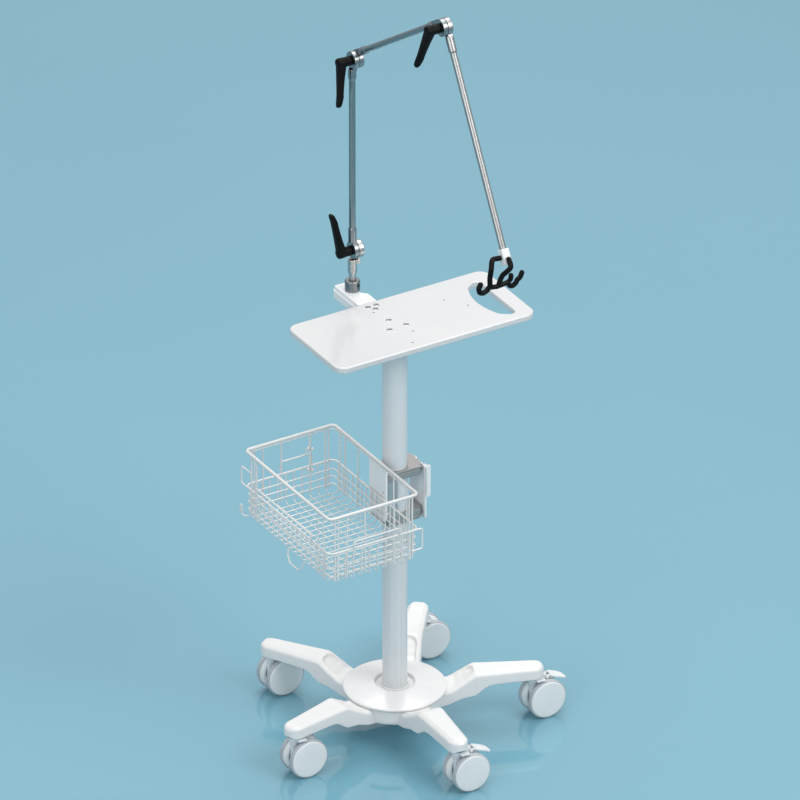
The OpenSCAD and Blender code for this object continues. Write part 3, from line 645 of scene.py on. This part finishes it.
# ------------------------------------------------------------------ tray and what holds it
TOP, UNDER = 825.0, 813.0
outline = round_poly([(-170, -93), (240, -93), (240, 93), (-170, 93)], 20, 14)


def hand_hole():
    right = [(209.6, -62 + 112 * i / 10) for i in range(11)]
    top = arc2(199.6, 50, 10, 0, 108, 9)
    bow = []
    for i in range(25):
        a = math.radians(27 - 54 * i / 24)
        bow.append((289 - 121 * math.cos(a), -6 + 121 * math.sin(a)))
    bottom = arc2(199.6, -62, 10, -108, 0, 9)
    return right + top[1:] + bow + bottom[:-1]


SCREWS = [(20 * math.cos(math.radians(a)), 20 * math.sin(math.radians(a))) for a in (92, 212, 332)]
BR_SCREWS = [(-8.5, 79), (8.5, 79), (0, 67)]
SMALL = [(16, -36), (-6, -72), (121, 32), (148, -6), (-10, 57)]
loops = [outline, hand_hole()] + [circle(x, y, 5.15, 40) for x, y in SCREWS + BR_SCREWS] + [circle(x, y, 2.1, 24) for x, y in SMALL]
bm = bmesh.new()
plate(bm, loops, UNDER, TOP, 2.6, 5, radii=[2.8, 2.4] + [0.5] * 6 + [0.4] * 5)
finish_mesh("tray_panel", bm, "trolley", M_TRAY, ("tray",), angle=60)

bm = bmesh.new()
for x, y in SCREWS + BR_SCREWS:
    M = T((x, y, 0))
    lathe(bm, [(0, 822.2), (2.3, 822.2), (2.3, 824.1), (2.6, 824.3), (3.9, 824.1), (4.6, 823.4), (4.8, 822.4), (4.8, 820.9), (2.5, 820.8), (2.5, 807.6), (0, 807.5)], 36, M)
finish_mesh("tray_screw_heads", bm, "trolley", M_SCREW, ("tray_screws",))

bm = bmesh.new()
lathe(bm, [(0, 812.9), (32.8, 812.9), (34, 811.9), (34, 808.0), (33.2, 807.1), (19.4, 807.0), (19.4, 778), (18.6, 777.2), (0, 777.2)], 96)
finish_mesh("top_flange_plate", bm, "trolley", M_WHITE, ("top_flange",))

# stepped bracket behind the tray
bm = bmesh.new()
low = round_poly([(-24, 50), (20, 50), (20, 122), (13, 132), (13, 170), (10, 177.5), (-24, 177.5)], [4, 4, 4, 3, 3, 4, 5], 6)
plate(bm, [low, circle(0, 147.5, 8.1, 32)], 803.0, 812.9, 0.9, 3)
top = round_poly([(-24, 93.5), (20, 93.5), (20, 122), (10, 132), (10, 172), (7, 177.5), (-24, 177.5)], [1, 1, 4, 3, 3, 4, 5], 6)
plate(bm, [round_poly([(-24, 93.5), (20, 93.5), (20, 122), (13, 132), (13, 170), (10, 177.5), (-24, 177.5)], [1, 1, 4, 3, 3, 4, 5], 6), circle(0, 147.5, 8.1, 32)], 812.9, 818.5, 0.5, 2)
plate(bm, [round_poly([(-20.5, 93.5), (17, 93.5), (17, 121), (7.5, 131), (7.5, 177.5), (-20.5, 177.5)], [1, 1, 4, 3, 3, 3], 6), circle(0, 147.5, 8.1, 32)], 818.5, TOP, 0.9, 3)
finish_mesh("arm_bracket_casting", bm, "trolley", M_WHITE, ("arm_bracket",), angle=60)

bm = bmesh.new()
S = T((0, 147.5, 0))
lathe(bm, [(6.1, 811.2), (7.4, 804.2), (8, 804.6), (8, 825.05), (13.2, 825.05), (13.8, 825.6), (13.8, 842.6), (13.2, 844.4), (12.2, 845.3), (11.0, 845.5), (8.0, 845.5), (6.6, 845.0), (6.1, 844.0)], 72, S, close=True)
finish_mesh("arm_socket_turned", bm, "trolley", M_SOCKET_SHADED, ("arm_socket",))
bm = bmesh.new()
SD = T((0, 147.5, 837.5)) @ Matrix.Rotation(math.radians(20), 4, "Z") @ Matrix.Rotation(pi / 2, 4, "X")
lathe(bm, [(0, 6.4), (2.5, 6.4), (2.5, 13.4), (2.7, 13.6), (2.7, 14.0), (2.5, 14.4), (2.2, 14.6), (1.4, 14.6), (1.4, 13.6), (0, 13.6)], 32, SD)
finish_mesh("socket_set_screw", bm, "trolley", M_HOLDER, ("socket_screw",))

# ------------------------------------------------------------------ arm
J1, J2 = V((0, 147.5, 906.0)), V((0, 147.5, 1290.8))
RISE, FALL, L2, L3 = math.radians(34.3), math.radians(61.4), 350.9, 407.7
J3 = J2 + V((0, -L2 * math.cos(RISE), L2 * math.sin(RISE)))
LA0, LA1, LB0, LB1, LC0, LC1 = -2.75, 6.65, 6.85, 16.25, 16.45, 25.85
R2X, R3X = (LB0 + LB1) / 2, (LC0 + LC1) / 2


def disc(bm, M, x0, x1, r=16.5):
    """Joint disc with a turned, chamfered rim."""
    h = x1 - x0
    lathe(bm, [(4.15, 0.3), (4.5, 0), (r - 1.1, 0), (r - 0.25, 0.45), (r, 1.2), (r, h - 1.2), (r - 0.25, h - 0.45), (r - 1.1, h), (4.5, h), (4.15, h - 0.3)], 96, M @ T((x0, 0, 0)) @ XAX, close=True)


def collar_prof(a, b, r, rod):
    return [(rod, a - 0.8), (r - 0.8, a), (r, a + 0.8), (r, b - 3.2), (r - 0.5, b - 1.5), (rod + 0.2, b + 0.6), (rod - 0.4, b + 0.8)]


def neck(bm, M, x0, x1, y, z0, z1, hw=7.0):
    """Slab between a joint disc and its rod, with rounded long edges."""
    pts = round_poly([(y - hw, z0), (y + hw, z0), (y + hw, z1), (y - hw, z1)], [0.5, 0.5, 2.2, 2.2], 4)
    A = Matrix(((0, 0, 1, 0), (1, 0, 0, 0), (0, 1, 0, 0), (0, 0, 0, 1)))
    plate(bm, [pts], x0 + 0.05, x1 - 0.05, 0.9, 3, M @ A)


def bolt_mesh(name, body, rep, M, x0, x1):
    bm = bmesh.new()
    A = M @ T((0, 0, 0)) @ XAX
    lathe(bm, [(0, x0 - 15.8), (3.4, x0 - 15.8), (4.0, x0 - 15.2), (4.0, x1 + 0.04), (6.8, x1 + 0.06), (7.5, x1 + 0.6), (7.5, x1 + 2.7), (6.9, x1 + 3.5), (6.0, x1 + 4.0), (5.2, x1 + 4.8), (4.4, x1 + 5.0), (2.6, x1 + 5.0), (2.4, x1 + 4.7), (2.4, x1 + 2.6), (0, x1 + 2.6)], 64, A)
    finish_mesh(name, bm, body, M_DISC, (rep,))


# foot: stub, collar, knuckle and disc
bm = bmesh.new()
lathe(bm, [(0, 811.6), (5.2, 811.6), (6, 812.4), (6, 853.4), (6.5, 855.2), (8.0, 861.4), (8.4, 863.0), (8.4, 885.8), (7.8, 887.4), (6.6, 888.0), (0, 888.0)], 64, S)
M1 = T(J1)
neck(bm, M1, LB0, LB0 + 5.5, 0, -26.6, -6, 8.0)
neck(bm, M1, -6.0, 10.0, 0, -27.0, -18.6, 7.2)
disc(bm, M1, LB0, LB1)
finish_mesh("arm_foot_knuckle", bm, "arm_foot", M_DISC, ("arm_stub",), angle=45)
bolt_mesh("arm_foot_bolt", "post", "clamp_bolt_1", M1, LA0, LB1)

# post
bm = bmesh.new()
PL = 384.8
lathe(bm, [(0, 20), (6, 20), (6, PL - 20), (0, PL - 20)], 64, M1)
for m in (0, 1):
    MM = M1 if m == 0 else M1 @ T((0, 0, PL)) @ Matrix.Scale(-1, 4, V((0, 0, 1)))
    lathe(bm, collar_prof(17.8, 46 if m == 0 else 38, 7.5, 6), 64, MM)
    disc(bm, MM, LA0, LA1)
    neck(bm, MM, LA0, LA1, 0, 7, 22, 7.0)
finish_mesh("arm_post_rod", bm, "post", M_STEEL_SHADED, ("arm_post",), angle=45)

# middle rod
M2 = T(J2) @ Matrix.Rotation(pi / 2 - RISE, 4, "X")
bm = bmesh.new()
O = 9.5
lathe(bm, [(0, 24), (6, 24), (6, L2 - 24), (0, L2 - 24)], 64, M2 @ T((R2X, O, 0)))
for m in (0, 1):
    MM = M2 if m == 0 else M2 @ T((0, 0, L2)) @ Matrix.Scale(-1, 4, V((0, 0, 1)))
    lathe(bm, collar_prof(25, 46, 7.5, 6), 64, MM @ T((R2X, O, 0)))
    disc(bm, MM, LB0, LB1)
    neck(bm, MM, LB0, LB1, O, -2.5, 27, 7.0)
finish_mesh("arm_middle_rod_assembly", bm, "middle_rod", M_STEEL_SHADED, ("arm_middle_rod",), angle=45)
bolt_mesh("arm_middle_bolt", "post", "clamp_bolt_2", T(J2), LA0, LB1)
bolt_mesh("arm_top_bolt", "middle_rod", "clamp_bolt_3", T(J3), LB0, LC1)

# end rod
M3 = T(J3) @ Matrix.Rotation(pi / 2 + FALL, 4, "X")
bm = bmesh.new()
lathe(bm, [(0, 20), (6, 20), (6, L3 + 6), (0, L3 + 6)], 64, M3 @ T((R3X, 0, 0)))
lathe(bm, collar_prof(17.8, 48, 7.5, 6), 64, M3 @ T((R3X, 0, 0)))
disc(bm, M3, LC0, LC1)
neck(bm, M3, LC0, LC1, 0, 7, 22, 7.0)
finish_mesh("arm_end_rod_assembly", bm, "end_rod", M_ROD3, ("arm_end_rod",), angle=45)

# holder block and its set screw
BT = L3 - 3
bm = bmesh.new()
sq = round_poly([(R3X - 7.5, -8.5), (R3X + 7.5, -8.5), (R3X + 7.5, 8.5), (R3X - 7.5, 8.5)], 1.6, 4)
plate(bm, [sq, circle(R3X, 0, 6.08, 40)], BT, BT + 28.9, 0.8, 3, M3)
plate(bm, [circle(R3X, 0, 6.2, 40)], BT + 9.6, BT + 28.7, 0.1, 1, M3)
finish_mesh("holder_block_body", bm, "end_rod", M_WHITE, ("holder_block",), angle=60)
bm = bmesh.new()
lathe(bm, [(0, 6.2), (2.4, 6.2), (2.4, 8.1), (2.1, 8.4), (1.2, 8.4), (1.2, 7.4), (0, 7.4)], 24, M3 @ T((R3X, 0, BT + 5)) @ Matrix.Rotation(-pi / 2, 4, "X"))
finish_mesh("holder_set_screw", bm, "end_rod", M_HOLDER, ("holder_screw",))

# levers
def lever(name, body, rep, J, turn, x0):
    """Adjustable clamping lever: boss, button and a tapering paddle with a nose at its tip."""
    M = T(J) @ Matrix.Rotation(turn, 4, "X") @ T((x0, 0, 0))
    bm = bmesh.new()
    A = M @ Matrix.Rotation(-pi / 2, 4, "Y")      # +Z to -X
    lathe(bm, [(4.1, 0.25), (8.1, 0.25), (8.8, 0.9), (8.9, 2.0), (9.0, 12.0), (9.6, 17.0), (9.9, 22.0), (9.7, 25.6), (8.6, 27.6), (6.0, 28.5), (5.4, 27.9), (5.0, 27.9), (4.8, 28.6), (3.0, 29.0), (0, 29.1)], 64, A)
    rings = []
    # distance along the arm, half width, inner x, outer x
    st = [(-8.4, 3.8, -15, -23.0), (-6.6, 7.2, -13.2, -26.2), (0, 9.7, -12.0, -28.2), (7, 9.6, -12.8, -28.8), (14, 9.3, -14.8, -29.6), (24, 8.6, -17.6, -30.8), (36, 7.9, -20.2, -32.4), (48, 7.2, -22.6, -34.0),
          (57, 6.9, -24.2, -35.4), (60.5, 7.1, -24.4, -36.0), (63, 7.0, -25.4, -36.4), (69, 6.6, -27.4, -37.8), (73.5, 6.2, -29.2, -38.8), (76.6, 5.5, -31.0, -39.2), (78.4, 4.2, -33.0, -38.8)]
    for s, w, xi, xo in st:
        ring = []
        cx, hx = (xi + xo) / 2, abs(xi - xo) / 2
        for i in range(20):
            a = 2 * pi * i / 20
            e = 0.62
            c, d = math.cos(a), math.sin(a)
            ring.append(M @ V((cx + hx * math.copysign(abs(c) ** e, c), w * math.copysign(abs(d) ** e, d), s)))
        rings.append(ring)
    loft(bm, rings)
    finish_mesh(name, bm, body, M_BLACK, (rep,), angle=70)


lever("clamp_lever_paddle_1", "lever_1", "clamp_lever_1", J1, math.radians(-7), LA0)
lever("clamp_lever_paddle_2", "lever_2", "clamp_lever_2", J2, math.radians(167), LA0)
lever("clamp_lever_paddle_3", "lever_3", "clamp_lever_3", J3, math.radians(195), LB0)

# hose holder
PIN_N, PIN_T = -2, 14.5
PV = J3 + V((0, -(BT + PIN_T) * math.cos(FALL) - PIN_N * math.sin(FALL), -(BT + PIN_T) * math.sin(FALL) + PIN_N * math.cos(FALL)))


def hp(x, y, z):
    return PV + V((x + 8, y, z))


bm = bmesh.new()
PY = -13
sweep(bm, [hp(3.7, 0, 0), hp(20, 0, 0)], 2.5, 20)
sweep(bm, rounded_path([hp(5.2, 0, 0), hp(-8, -0.5, 2), hp(-16, -6, 5), hp(-21.5, PY, -8), hp(-24.5, PY, -27), hp(-24, PY, -42), hp(-31, PY, -49.5), hp(-38, PY, -52), hp(-45.5, PY, -50), hp(-47.4, PY, -41), hp(-43.6, PY, -33.6)], 7, 6), 4.8, 20)
sweep(bm, rounded_path([hp(12, -16.4, 3.6), hp(13, -20.8, -4), hp(12, -24.3, -9.5), hp(6.5, -20.5, -17.5), hp(1, -14.5, -26), hp(-2.5, PY, -34), hp(-6.5, PY, -45.5)], 6, 6), 4.7, 20)
sweep(bm, rounded_path([hp(-24, PY, -42), hp(-22, PY, -45), hp(-10, PY, -46.8), hp(1, PY, -45.8), hp(13, PY, -44), hp(18.4, PY, -40), hp(19, PY, -32.5)], 7, 6), 4.5, 20)
sweep(bm, rounded_path([hp(11.5, PY, -44.2), hp(15.5, PY, -52), hp(21, PY, -55), hp(29, PY, -50.4), hp(32, PY, -44.2), hp(37.5, PY, -42), hp(41.3, PY, -33)], 6, 6), 4.6, 20)
finish_mesh("hose_holder_hooks", bm, "holder", M_HOLDER, ("hose_holder",), angle=80)

# ------------------------------------------------------------------ column clamp
U0, U1, W0, W1 = 521.0, 538.0, 431.0, 451.0


def clamp_ring(d):
    """C-shaped outline drawn in by d: the slit at the rear opens into the bore."""
    out = round_poly([(-32 + d, -27 + d), (37 - d * 0.6, -27 + d), (45.8 - d, -14 + d * 0.4), (45.8 - d, 20), (40 - d * 0.4, 27 - d), (1.0, 27 - d), (1.0, 22.6)], [1.5, 5, 8, 8, 4, 0.5, 0], 5)
    inner = [(22.62 * math.sin(math.radians(a)), 22.62 * math.cos(math.radians(a))) for a in [2.6 + (360 - 5.2) * i / 71 for i in range(72)]]
    return out[:-1] + inner + [(-1.0, 27 - d), (-30.5 + d, 27 - d), (-32 + d, 25.5 - d)]


def clamp_mesh(name, rep, z0, z1, groove):
    bm = bmesh.new()
    plate(bm, [clamp_ring(0)], z0, groove, 0.6, 3)
    plate(bm, [clamp_ring(1.6)], groove, groove + 1.6, 0.05, 1)
    plate(bm, [clamp_ring(0)], groove + 1.6, z1, 0.6, 3)
    finish_mesh(name, bm, "basket_clamp", M_CLAMP, (rep,), angle=50)


clamp_mesh("clamp_block_upper", "clamp_upper", U0, U1, 532.0)
clamp_mesh("clamp_block_lower", "clamp_lower", W0, W1, 437.5)

bm = bmesh.new()
a0 = math.degrees(math.acos(-10 / 22.9))
edge = [(22.9 * math.cos(math.radians(a)), 22.9 * math.sin(math.radians(a))) for a in [a0 + (360 - 2 * a0) * i / 40 for i in range(41)]]
prof = [(-10, -27), (-17, -27), (-17, -24.2), (-19, -23.6), (-25, -23.6), (-27, -24.2), (-27, -27), (-32, -27), (-32, 27), (-27, 27), (-27, 24.2), (-25, 23.6), (-19, 23.6), (-17, 24.2), (-17, 27), (-10, 27)]
ring = prof + edge
plate(bm, [ring], W1 + 0.05, U0 - 0.05, 0.35, 2)
# a rib each side of the groove
for y in (-27.6, 27.6):
    for x in (-29.6, -13.4):
        sweep(bm, [(x, y * 0.985, W1 + 1), (x, y * 0.985, U0 - 1)], 1.0, 10, cap="flat")
finish_mesh("clamp_saddle_extrusion", bm, "basket_clamp", M_SADDLE, ("clamp_saddle",), angle=40)

bm = bmesh.new()
for z in ((U0 + U1) / 2, (W0 + W1) / 2):
    for y in (-16, 16):
        lathe(bm, [(0, 26.2), (2.5, 26.2), (2.5, 50.05), (4.1, 50.05), (4.5, 50.5), (4.5, 53.6), (4.0, 54.0), (2.2, 54.0), (2.2, 52.2), (0, 52.2)], 32, T((0, y, z)) @ XAX)
finish_mesh("clamp_screw_heads", bm, "basket_clamp", M_SCREW, ("clamp_screws",))

RIM = 561.0
bm = bmesh.new()
A_YZ = Matrix(((0, 0, 1, 0), (1, 0, 0, 0), (0, 1, 0, 0), (0, 0, 0, 1)))   # (y, z, x) plate axes
plate(bm, [round_poly([(-29, RIM - 112), (-21, RIM - 120), (21, RIM - 120), (29, RIM - 112), (29, RIM - 4), (-29, RIM - 4)], [3, 3, 3, 3, 4, 4], 5), circle(0, RIM - 100, 2.7, 24), circle(0, RIM - 15, 2.7, 24), circle(-20, RIM - 15, 2.2, 20), circle(-20, RIM - 60, 2.2, 20)], -36, -32, 0.7, 3, A_YZ)
finish_mesh("basket_back_plate", bm, "basket_clamp", M_WHITE, ("basket_bracket",), angle=60)
bm = bmesh.new()
plate(bm, [round_poly([(-27, 426), (27, 426), (27, 534), (-27, 534)], 4, 6), circle(4, 464, 2.6, 24), circle(4, 508, 2.6, 24)], 46, 50, 0.7, 3, A_YZ)
A_XZ = Matrix.Rotation(pi / 2, 4, "X")
plate(bm, [round_poly([(47, 470), (59, 470), (59, 534), (47, 534)], [1, 3, 3, 1], 5)], 23.2, 27, 0.7, 3, A_XZ)
finish_mesh("side_rail_plate", bm, "basket_clamp", M_WHITE, ("side_rail",), angle=60)

# ------------------------------------------------------------------ basket
BX1 = -39.2
BX0, BY, FZ = BX1 - 183.0, 146.5, 428.0
bm = bmesh.new()
# rim: one closed loop with rounded corners
sweep(bm, rounded_path([(BX0, -BY, RIM), (BX1, -BY, RIM), (BX1, BY, RIM), (BX0, BY, RIM)], 9, 8, closed=True), 2.85, 16, closed=True)


def wire(pts, r=1.08, rad=6, n=10, closed=False):
    sweep(bm, rounded_path(pts, rad, 5, closed), r, n, closed=closed)


finish_mesh("basket_rim", bm, "basket_clamp", M_WIRE)

# dense wires: down one wall, under the floor and up the other wall to the middle band
MZ = 490.0
bm = bmesh.new()
for i in range(1, 11):
    x = BX0 + 183.0 * i / 11
    wire([(x, -BY, MZ), (x, -BY, FZ), (x, BY, FZ), (x, BY, MZ)])
for z in (FZ + 15, FZ + 30, FZ + 45):
    for y in (-BY + 2.7, BY - 2.7):
        wire([(BX0 + 12, y, z), (BX1 - 12, y, z)], 1.3)
# full-height wires near the corners and in the middle of the end walls
for x in (BX0 + 11.6, BX0 + 18.5, BX0 + 36.5, BX0 + 73.5, BX0 + 134, BX1 - 18.5, BX1 - 11.6):
    for y in (-BY, BY):
        wire([(x, y, RIM - 1.5), (x, y, FZ + 6)], 1.35)
finish_mesh("basket_wires_across", bm, "basket_clamp", M_WIRE, ("basket_front", "basket_rear"))
bm = bmesh.new()
for i in range(1, 18):
    y = -BY + 293.0 * i / 18
    wire([(BX0, y, MZ), (BX0, y, FZ + 2.8), (BX1, y, FZ + 2.8), (BX1, y, MZ)])
for z in (FZ + 15, FZ + 30, FZ + 45):
    for x in (BX0 + 2.7, BX1 - 2.7):
        wire([(x, -BY + 12, z), (x, BY - 12, z)], 1.3)
for y in (-BY + 21, -BY + 39, -62, 62, BY - 39, BY - 21):
    for x in (BX0, BX1):
        if x == BX1 or abs(y) > 70:
            wire([(x, y, RIM - 1.5), (x, y, FZ + 6)], 1.35)
finish_mesh("basket_wires_along", bm, "basket_clamp", M_WIRE, ("basket_inner", "basket_outer", "basket_floor"))
bm = bmesh.new()
d = -0.6
wire([(BX0 + d, -BY + d, MZ), (BX1 - d, -BY + d, MZ), (BX1 - d, BY - d, MZ), (BX0 + d, BY - d, MZ)], 1.9, 12, 12, True)
for z in (FZ + 15, FZ + 30, FZ + 45):
    d = 2.7
    for cx, cy, sx_, sy_ in ((BX0, -BY, 1, 1), (BX1, -BY, -1, 1), (BX1, BY, -1, -1), (BX0, BY, 1, -1)):
        wire([(cx + sx_ * 12, cy + sy_ * d, z), (cx + sx_ * d, cy + sy_ * d, z), (cx + sx_ * d, cy + sy_ * 12, z)], 1.3, 9)
# second, thinner wire just under the rim
d = 1.6
wire([(BX0 + d, -BY + d, RIM - 5.0), (BX1 - d, -BY + d, RIM - 5.0), (BX1 - d, BY - d, RIM - 5.0), (BX0 + d, BY - d, RIM - 5.0)], 1.3, 12, 9, True)
# stand-off rails on the outer, front and rear walls
wire([(BX0 - 1.5, 103, MZ), (BX0 - 5, 103, MZ + 8), (BX0 - 5, 103, MZ + 16), (BX0 - 5, -90, MZ + 16), (BX0 - 5, -90, MZ + 8), (BX0 - 1.5, -90, MZ)], 1.8, 4, 12)
wire([(-174, -BY - 1.5, MZ), (-174, -BY - 5, MZ + 8), (-174, -BY - 5, MZ + 16), (-79, -BY - 5, MZ + 16), (-79, -BY - 5, MZ + 8), (-79, -BY - 1.5, MZ)], 1.6, 4, 12)
wire([(-148, BY + 1.5, MZ), (-148, BY + 4, MZ + 10), (-148, BY + 4, MZ + 23), (-84, BY + 4, MZ + 23), (-84, BY + 4, MZ + 10), (-84, BY + 1.5, MZ)], 1.5, 4, 10)
# hanging loops: at the rear left corner, at the front right corner, under the outer wall
wire([(BX0 - 1, 126, 524), (BX0 - 1.5, 158.5, 524), (BX0 - 1.5, 158.5, 489.5), (BX0 - 1, 126, 489.5)], 1.4, 4, 10)
wire([(-53, -BY - 1.5, 490.5), (-31.5, -BY - 2, 490.5), (-31.5, -BY - 2, 449.5), (-53, -BY - 1.5, 449.5)], 1.6, 4, 10)
wire([(BX0 - 0.5, 138, 430), (BX0 - 4, 147, 428), (BX0 - 4.5, 152, 431), (BX0 - 4.5, 152.5, 447), (BX0 - 4.5, 158.5, 447), (BX0 - 4.5, 158.5, 433)], 1.4, 2.8, 10)
wire([(BX0 - 0.5, -5, 434), (BX0 - 4, -7, 424), (BX0 - 5, -17, 411), (BX0 - 5, -47, 411), (BX0 - 4, -58, 422), (BX0 - 0.5, -60, 434)], 1.4, 6, 10)
# paired knobs on the rear wall
for z in (527.5, 484.5):
    for x, dz in ((-93.5, 1.6), (-86.0, -2.2)):
        lathe(bm, [(0, -2.6), (2.0, -2.4), (3.2, -1.2), (3.5, 0), (3.2, 1.2), (2.0, 2.4), (0, 2.6)], 20, T((x, BY - 2.5, z + dz)) @ Matrix.Rotation(pi / 2, 4, "X"))
    wire([(-97, BY - 0.5, z), (-97, BY - 0.5, z - 12)], 1.2)
wire([(-90, BY - 0.5, RIM - 2), (-90, BY - 0.5, MZ)], 1.3)
finish_mesh("basket_bands_and_loops", bm, "basket_clamp", M_WIRE)

# ------------------------------------------------------------------ floor, light, camera
floor_me = bpy.data.meshes.new("floor")
fb = bmesh.new()
bmesh.ops.create_grid(fb, x_segments=1, y_segments=1, size=14)
fb.to_mesh(floor_me); fb.free()
floor = bpy.data.objects.new("floor", floor_me)
coll.objects.link(floor)
m, nt, b = new_mat("floor_pale_blue", (0.20, 0.40, 0.50), 0.07)
b.inputs["IOR"].default_value = 1.9
nse = add_noise(nt, 1.2, 2.0)
nt.links.new(mix_color(nt, remap(nt, nse.outputs["Fac"], 0, 1), (0.166, 0.375, 0.468), (0.172, 0.385, 0.478)), b.inputs["Base Color"])
floor_me.materials.append(m)

world = bpy.data.worlds.new("studio")
scene.world = world
world.use_nodes = True
bg = world.node_tree.nodes["Background"]
bg.inputs["Color"].default_value = (0.93, 0.95, 0.97, 1)
bg.inputs["Strength"].default_value = 0.64


def area(name, loc, target, size, energy, color=(1, 1, 1)):
    l = bpy.data.lights.new(name, "AREA")
    l.shape = "RECTANGLE"
    l.size, l.size_y = size
    l.energy = energy
    l.color = color
    o = bpy.data.objects.new(name, l)
    o.location = loc
    o.rotation_mode = "QUATERNION"
    o.rotation_quaternion = (V(target) - V(loc)).to_track_quat("-Z", "Y")
    coll.objects.link(o)


area("key", (1.6, -3.4, 4.2), (0, 0, 0.6), (2.6, 2.6), 122, (1.0, 0.985, 0.97))
area("fill", (-3.6, -2.2, 2.6), (0, 0, 0.7), (2.5, 2.5), 54, (0.97, 0.985, 1.0))
area("top", (0.2, 0.6, 4.5), (0, 0, 0.5), (3.0, 3.0), 62)
area("far", (1.9, 3.4, 5.6), (1.4, 2.7, 0), (2.4, 2.4), 88)

AZ, EL = math.radians(-30.8), math.radians(29.5)
back = V((math.sin(AZ) * math.cos(EL), -math.cos(AZ) * math.cos(EL), math.sin(EL)))
cam_data = bpy.data.cameras.new("camera")
cam_data.type = "PERSP"
cam_data.lens = 1000
cam_data.sensor_width = 36
cam = bpy.data.objects.new("camera", cam_data)
coll.objects.link(cam)
look = BASE @ V((10.8, 0, 667.6))
dist = 1.424 / 36 * 1000
cam.location = look + back * dist
cam.rotation_mode = "QUATERNION"
cam.rotation_quaternion = (-back).to_track_quat("-Z", "Y")
cam_data.clip_start, cam_data.clip_end = 1, 200
scene.camera = cam
scene.view_settings.view_transform = "Standard"

bpy.context.view_layer.update()
